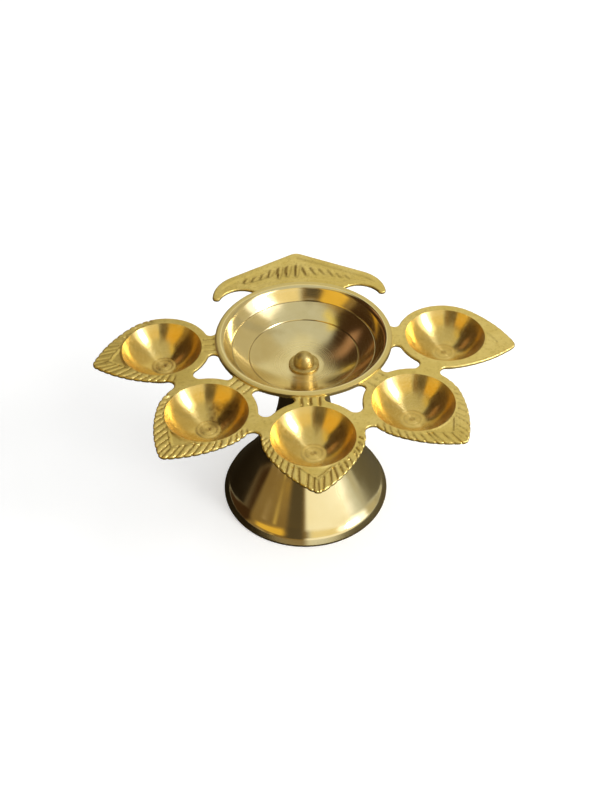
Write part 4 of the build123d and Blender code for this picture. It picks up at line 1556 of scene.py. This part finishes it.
def card(name, azimuth, elevation, colour, distance):
    """Curved reflector or flag with soft edges, which only shows in the polished metal."""
    points, faces, spread = [], [], []
    for j in range(CARD_STEPS + 1):
        lift = elevation[0] + (elevation[1] - elevation[0]) * j / CARD_STEPS
        for i in range(CARD_STEPS + 1):
            swing = azimuth[0] + (azimuth[1] - azimuth[0]) * i / CARD_STEPS
            points.append(STUDIO_CENTRE + distance * direction(swing, lift))
            spread.append((i / CARD_STEPS, j / CARD_STEPS))
    for j in range(CARD_STEPS):
        for i in range(CARD_STEPS):
            k = j * (CARD_STEPS + 1) + i
            faces.append((k, k + 1, k + CARD_STEPS + 2, k + CARD_STEPS + 1))
    mesh = bpy.data.meshes.new(name)
    mesh.from_pydata(points, [], faces)
    uv = mesh.uv_layers.new(name="spread")
    uv.data.foreach_set("uv", np.array([spread[k] for face in faces for k in face]).ravel())
    material, sheet = plain_material(name)
    spot = sheet.add("ShaderNodeUVMap", uv_map="spread").outputs["UV"]
    place = sheet.add("ShaderNodeSeparateXYZ", {0: spot}).outputs
    cover = 1.0
    for axis, reach in (("X", azimuth), ("Y", elevation)):
        edge = sheet.math("SUBTRACT", 0.5, sheet.math("ABSOLUTE", sheet.math("SUBTRACT", place[axis], 0.5)))
        fade = min(0.5, CARD_FADE / (reach[1] - reach[0]))
        cover = sheet.math("MULTIPLY", cover, sheet.span(edge, 0.0, fade, 0, 1))
    glow = sheet.add("ShaderNodeEmission", {"Color": (*colour, 1), "Strength": 1.0}).outputs[0]
    clear = sheet.add("ShaderNodeBsdfTransparent").outputs[0]
    faded = sheet.add("ShaderNodeMixShader", {0: cover, 1: clear, 2: glow}).outputs[0]
    sheet.add("ShaderNodeOutputMaterial", {"Surface": faded})
    mesh.materials.append(material)
    panel = bpy.data.objects.new(name, mesh)
    bpy.context.scene.collection.objects.link(panel)
    panel.visible_camera = False
    panel.visible_diffuse = False
    panel.visible_transmission = False
    panel.visible_shadow = False


def pale_floor():
    """Pale floor that goes white to the camera, keeps the lamp's shadow and stays darker in the metal."""
    mesh = bpy.data.meshes.new("floor")
    corners = [(FLOOR_SIZE * x, FLOOR_SIZE * y, 0) for x, y in ((-1, -1), (1, -1), (1, 1), (-1, 1))]
    mesh.from_pydata(corners, [], [(0, 1, 2, 3)])
    material, sheet = plain_material("pale floor")
    paths = sheet.add("ShaderNodeLightPath").outputs
    across = sheet.add("ShaderNodeSeparateXYZ", {0: object_place(sheet)}).outputs["X"]
    to_right = sheet.span(across, -0.05, 0.06, 0, 1)
    in_metal = sheet.blend(to_right, (0.02, 0.014, 0.008, 1), (0.14, 0.12, 0.075, 1))
    tone = sheet.blend(paths["Is Glossy Ray"], (0.9, 0.9, 0.89, 1), in_metal)
    surface = sheet.add("ShaderNodeBsdfDiffuse", {"Color": tone}).outputs[0]
    lift = sheet.math("MULTIPLY", paths["Is Camera Ray"], 0.25)
    glow = sheet.add("ShaderNodeEmission", {"Strength": lift}).outputs[0]
    both = sheet.add("ShaderNodeAddShader", {0: surface, 1: glow}).outputs[0]
    sheet.add("ShaderNodeOutputMaterial", {"Surface": both})
    mesh.materials.append(material)
    plane = bpy.data.objects.new("floor", mesh)
    bpy.context.scene.collection.objects.link(plane)


def facing(right, up, back, place):
    """Matrix of a light or camera by its own directions and its place."""
    return Matrix([(right[k], up[k], back[k], place[k]) for k in range(3)] + [(0, 0, 0, 1)])


def softbox(name, azimuth, elevation, distance, size, power):
    """Area light that faces the lamp."""
    light = bpy.data.lights.new(name, "AREA")
    light.shape = "RECTANGLE"
    light.size, light.size_y = size
    light.energy = power
    box = bpy.data.objects.new(name, light)
    toward = direction(azimuth, elevation)
    right = direction(azimuth + 90, 0)
    box.matrix_world = facing(right, np.cross(toward, right), toward, STUDIO_CENTRE + distance * toward)
    box.visible_camera = False
    bpy.context.scene.collection.objects.link(box)


def world_light():
    """Even light all round: white to the camera, plain on the floor and cream in the metal."""
    world = bpy.data.worlds.new("studio")
    world.use_nodes = True
    world.node_tree.nodes.clear()
    sheet = Sheet(world.node_tree)
    paths = sheet.add("ShaderNodeLightPath").outputs
    in_metal = sheet.blend(paths["Is Glossy Ray"], (0.8, 0.8, 0.8, 1), (0.61, 0.6, 0.48, 1))
    seen = sheet.blend(paths["Is Camera Ray"], in_metal, (1, 1, 1, 1))
    sky = sheet.add("ShaderNodeBackground", {"Color": seen, "Strength": 1.0}).outputs[0]
    sheet.add("ShaderNodeOutputWorld", {"Surface": sky})
    bpy.context.scene.world = world


def studio():
    """World, floor, one soft light and the cards that the metal mirrors."""
    world_light()
    pale_floor()
    softbox("window light", -30, 32, 0.75, (0.2, 0.4), 3.0)
    for values in CARDS:
        card(*values)


def camera():
    """Camera that holds the whole lamp in view."""
    lens = bpy.data.cameras.new("camera")
    lens.lens = CAMERA_LENS
    lens.sensor_width = CAMERA_SENSOR
    lens.clip_start = 0.01
    view = bpy.data.objects.new("camera", lens)
    swing, lift = (sin(CAMERA_YAW), cos(CAMERA_YAW)), (cos(CAMERA_PITCH), sin(CAMERA_PITCH))
    ahead = np.array((swing[0] * lift[0], swing[1] * lift[0], lift[1]))
    level = np.array((swing[1], -swing[0], 0))
    over = np.cross(level, ahead)
    right = cos(CAMERA_ROLL) * level + sin(CAMERA_ROLL) * over
    up = -sin(CAMERA_ROLL) * level + cos(CAMERA_ROLL) * over
    view.matrix_world = facing(right, up, -ahead, CAMERA_PLACE)
    bpy.context.scene.collection.objects.link(view)
    bpy.context.scene.camera = view


# The lamp

def settle(piece, node, body):
    """Puts a piece in the place of its frame node."""
    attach(piece, body)
    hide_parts(node)


def lamp():
    """Every piece of the lamp, on its body and in the place of its frame node."""
    hardware = turned_hardware_brass()
    zinc = zinc_steel()
    settle(leaf_plate(), "leaf_plate", "plate")
    settle(bell(), "pedestal", "pedestal")
    collar = washer_profile(HOLE_RADIUS, washer_high[0], washer_low[2], washer_high[2], COLLAR_SOFT)
    settle(turned_ring("bowl_washer_ring", collar, hardware), "bowl_washer", "collar")
    settle(dome_nut(hardware), "dome_nut", "nut")
    settle(clamp_stud(hardware), "clamp_stud", "pedestal")
    low, high = node_box("plain_washer")
    plain = washer_profile(HOLE_RADIUS, high[0], low[2], high[2], PLAIN_WASHER_SOFT)
    settle(turned_ring("plain_washer_ring", plain, zinc), "plain_washer", "pedestal")
    settle(spring_washer(zinc), "spring_washer", "pedestal")
    settle(hex_nut(zinc), "hex_nut", "pedestal")


bpy.context.scene.view_settings.view_transform = "Standard"
camera()
studio()
lamp()
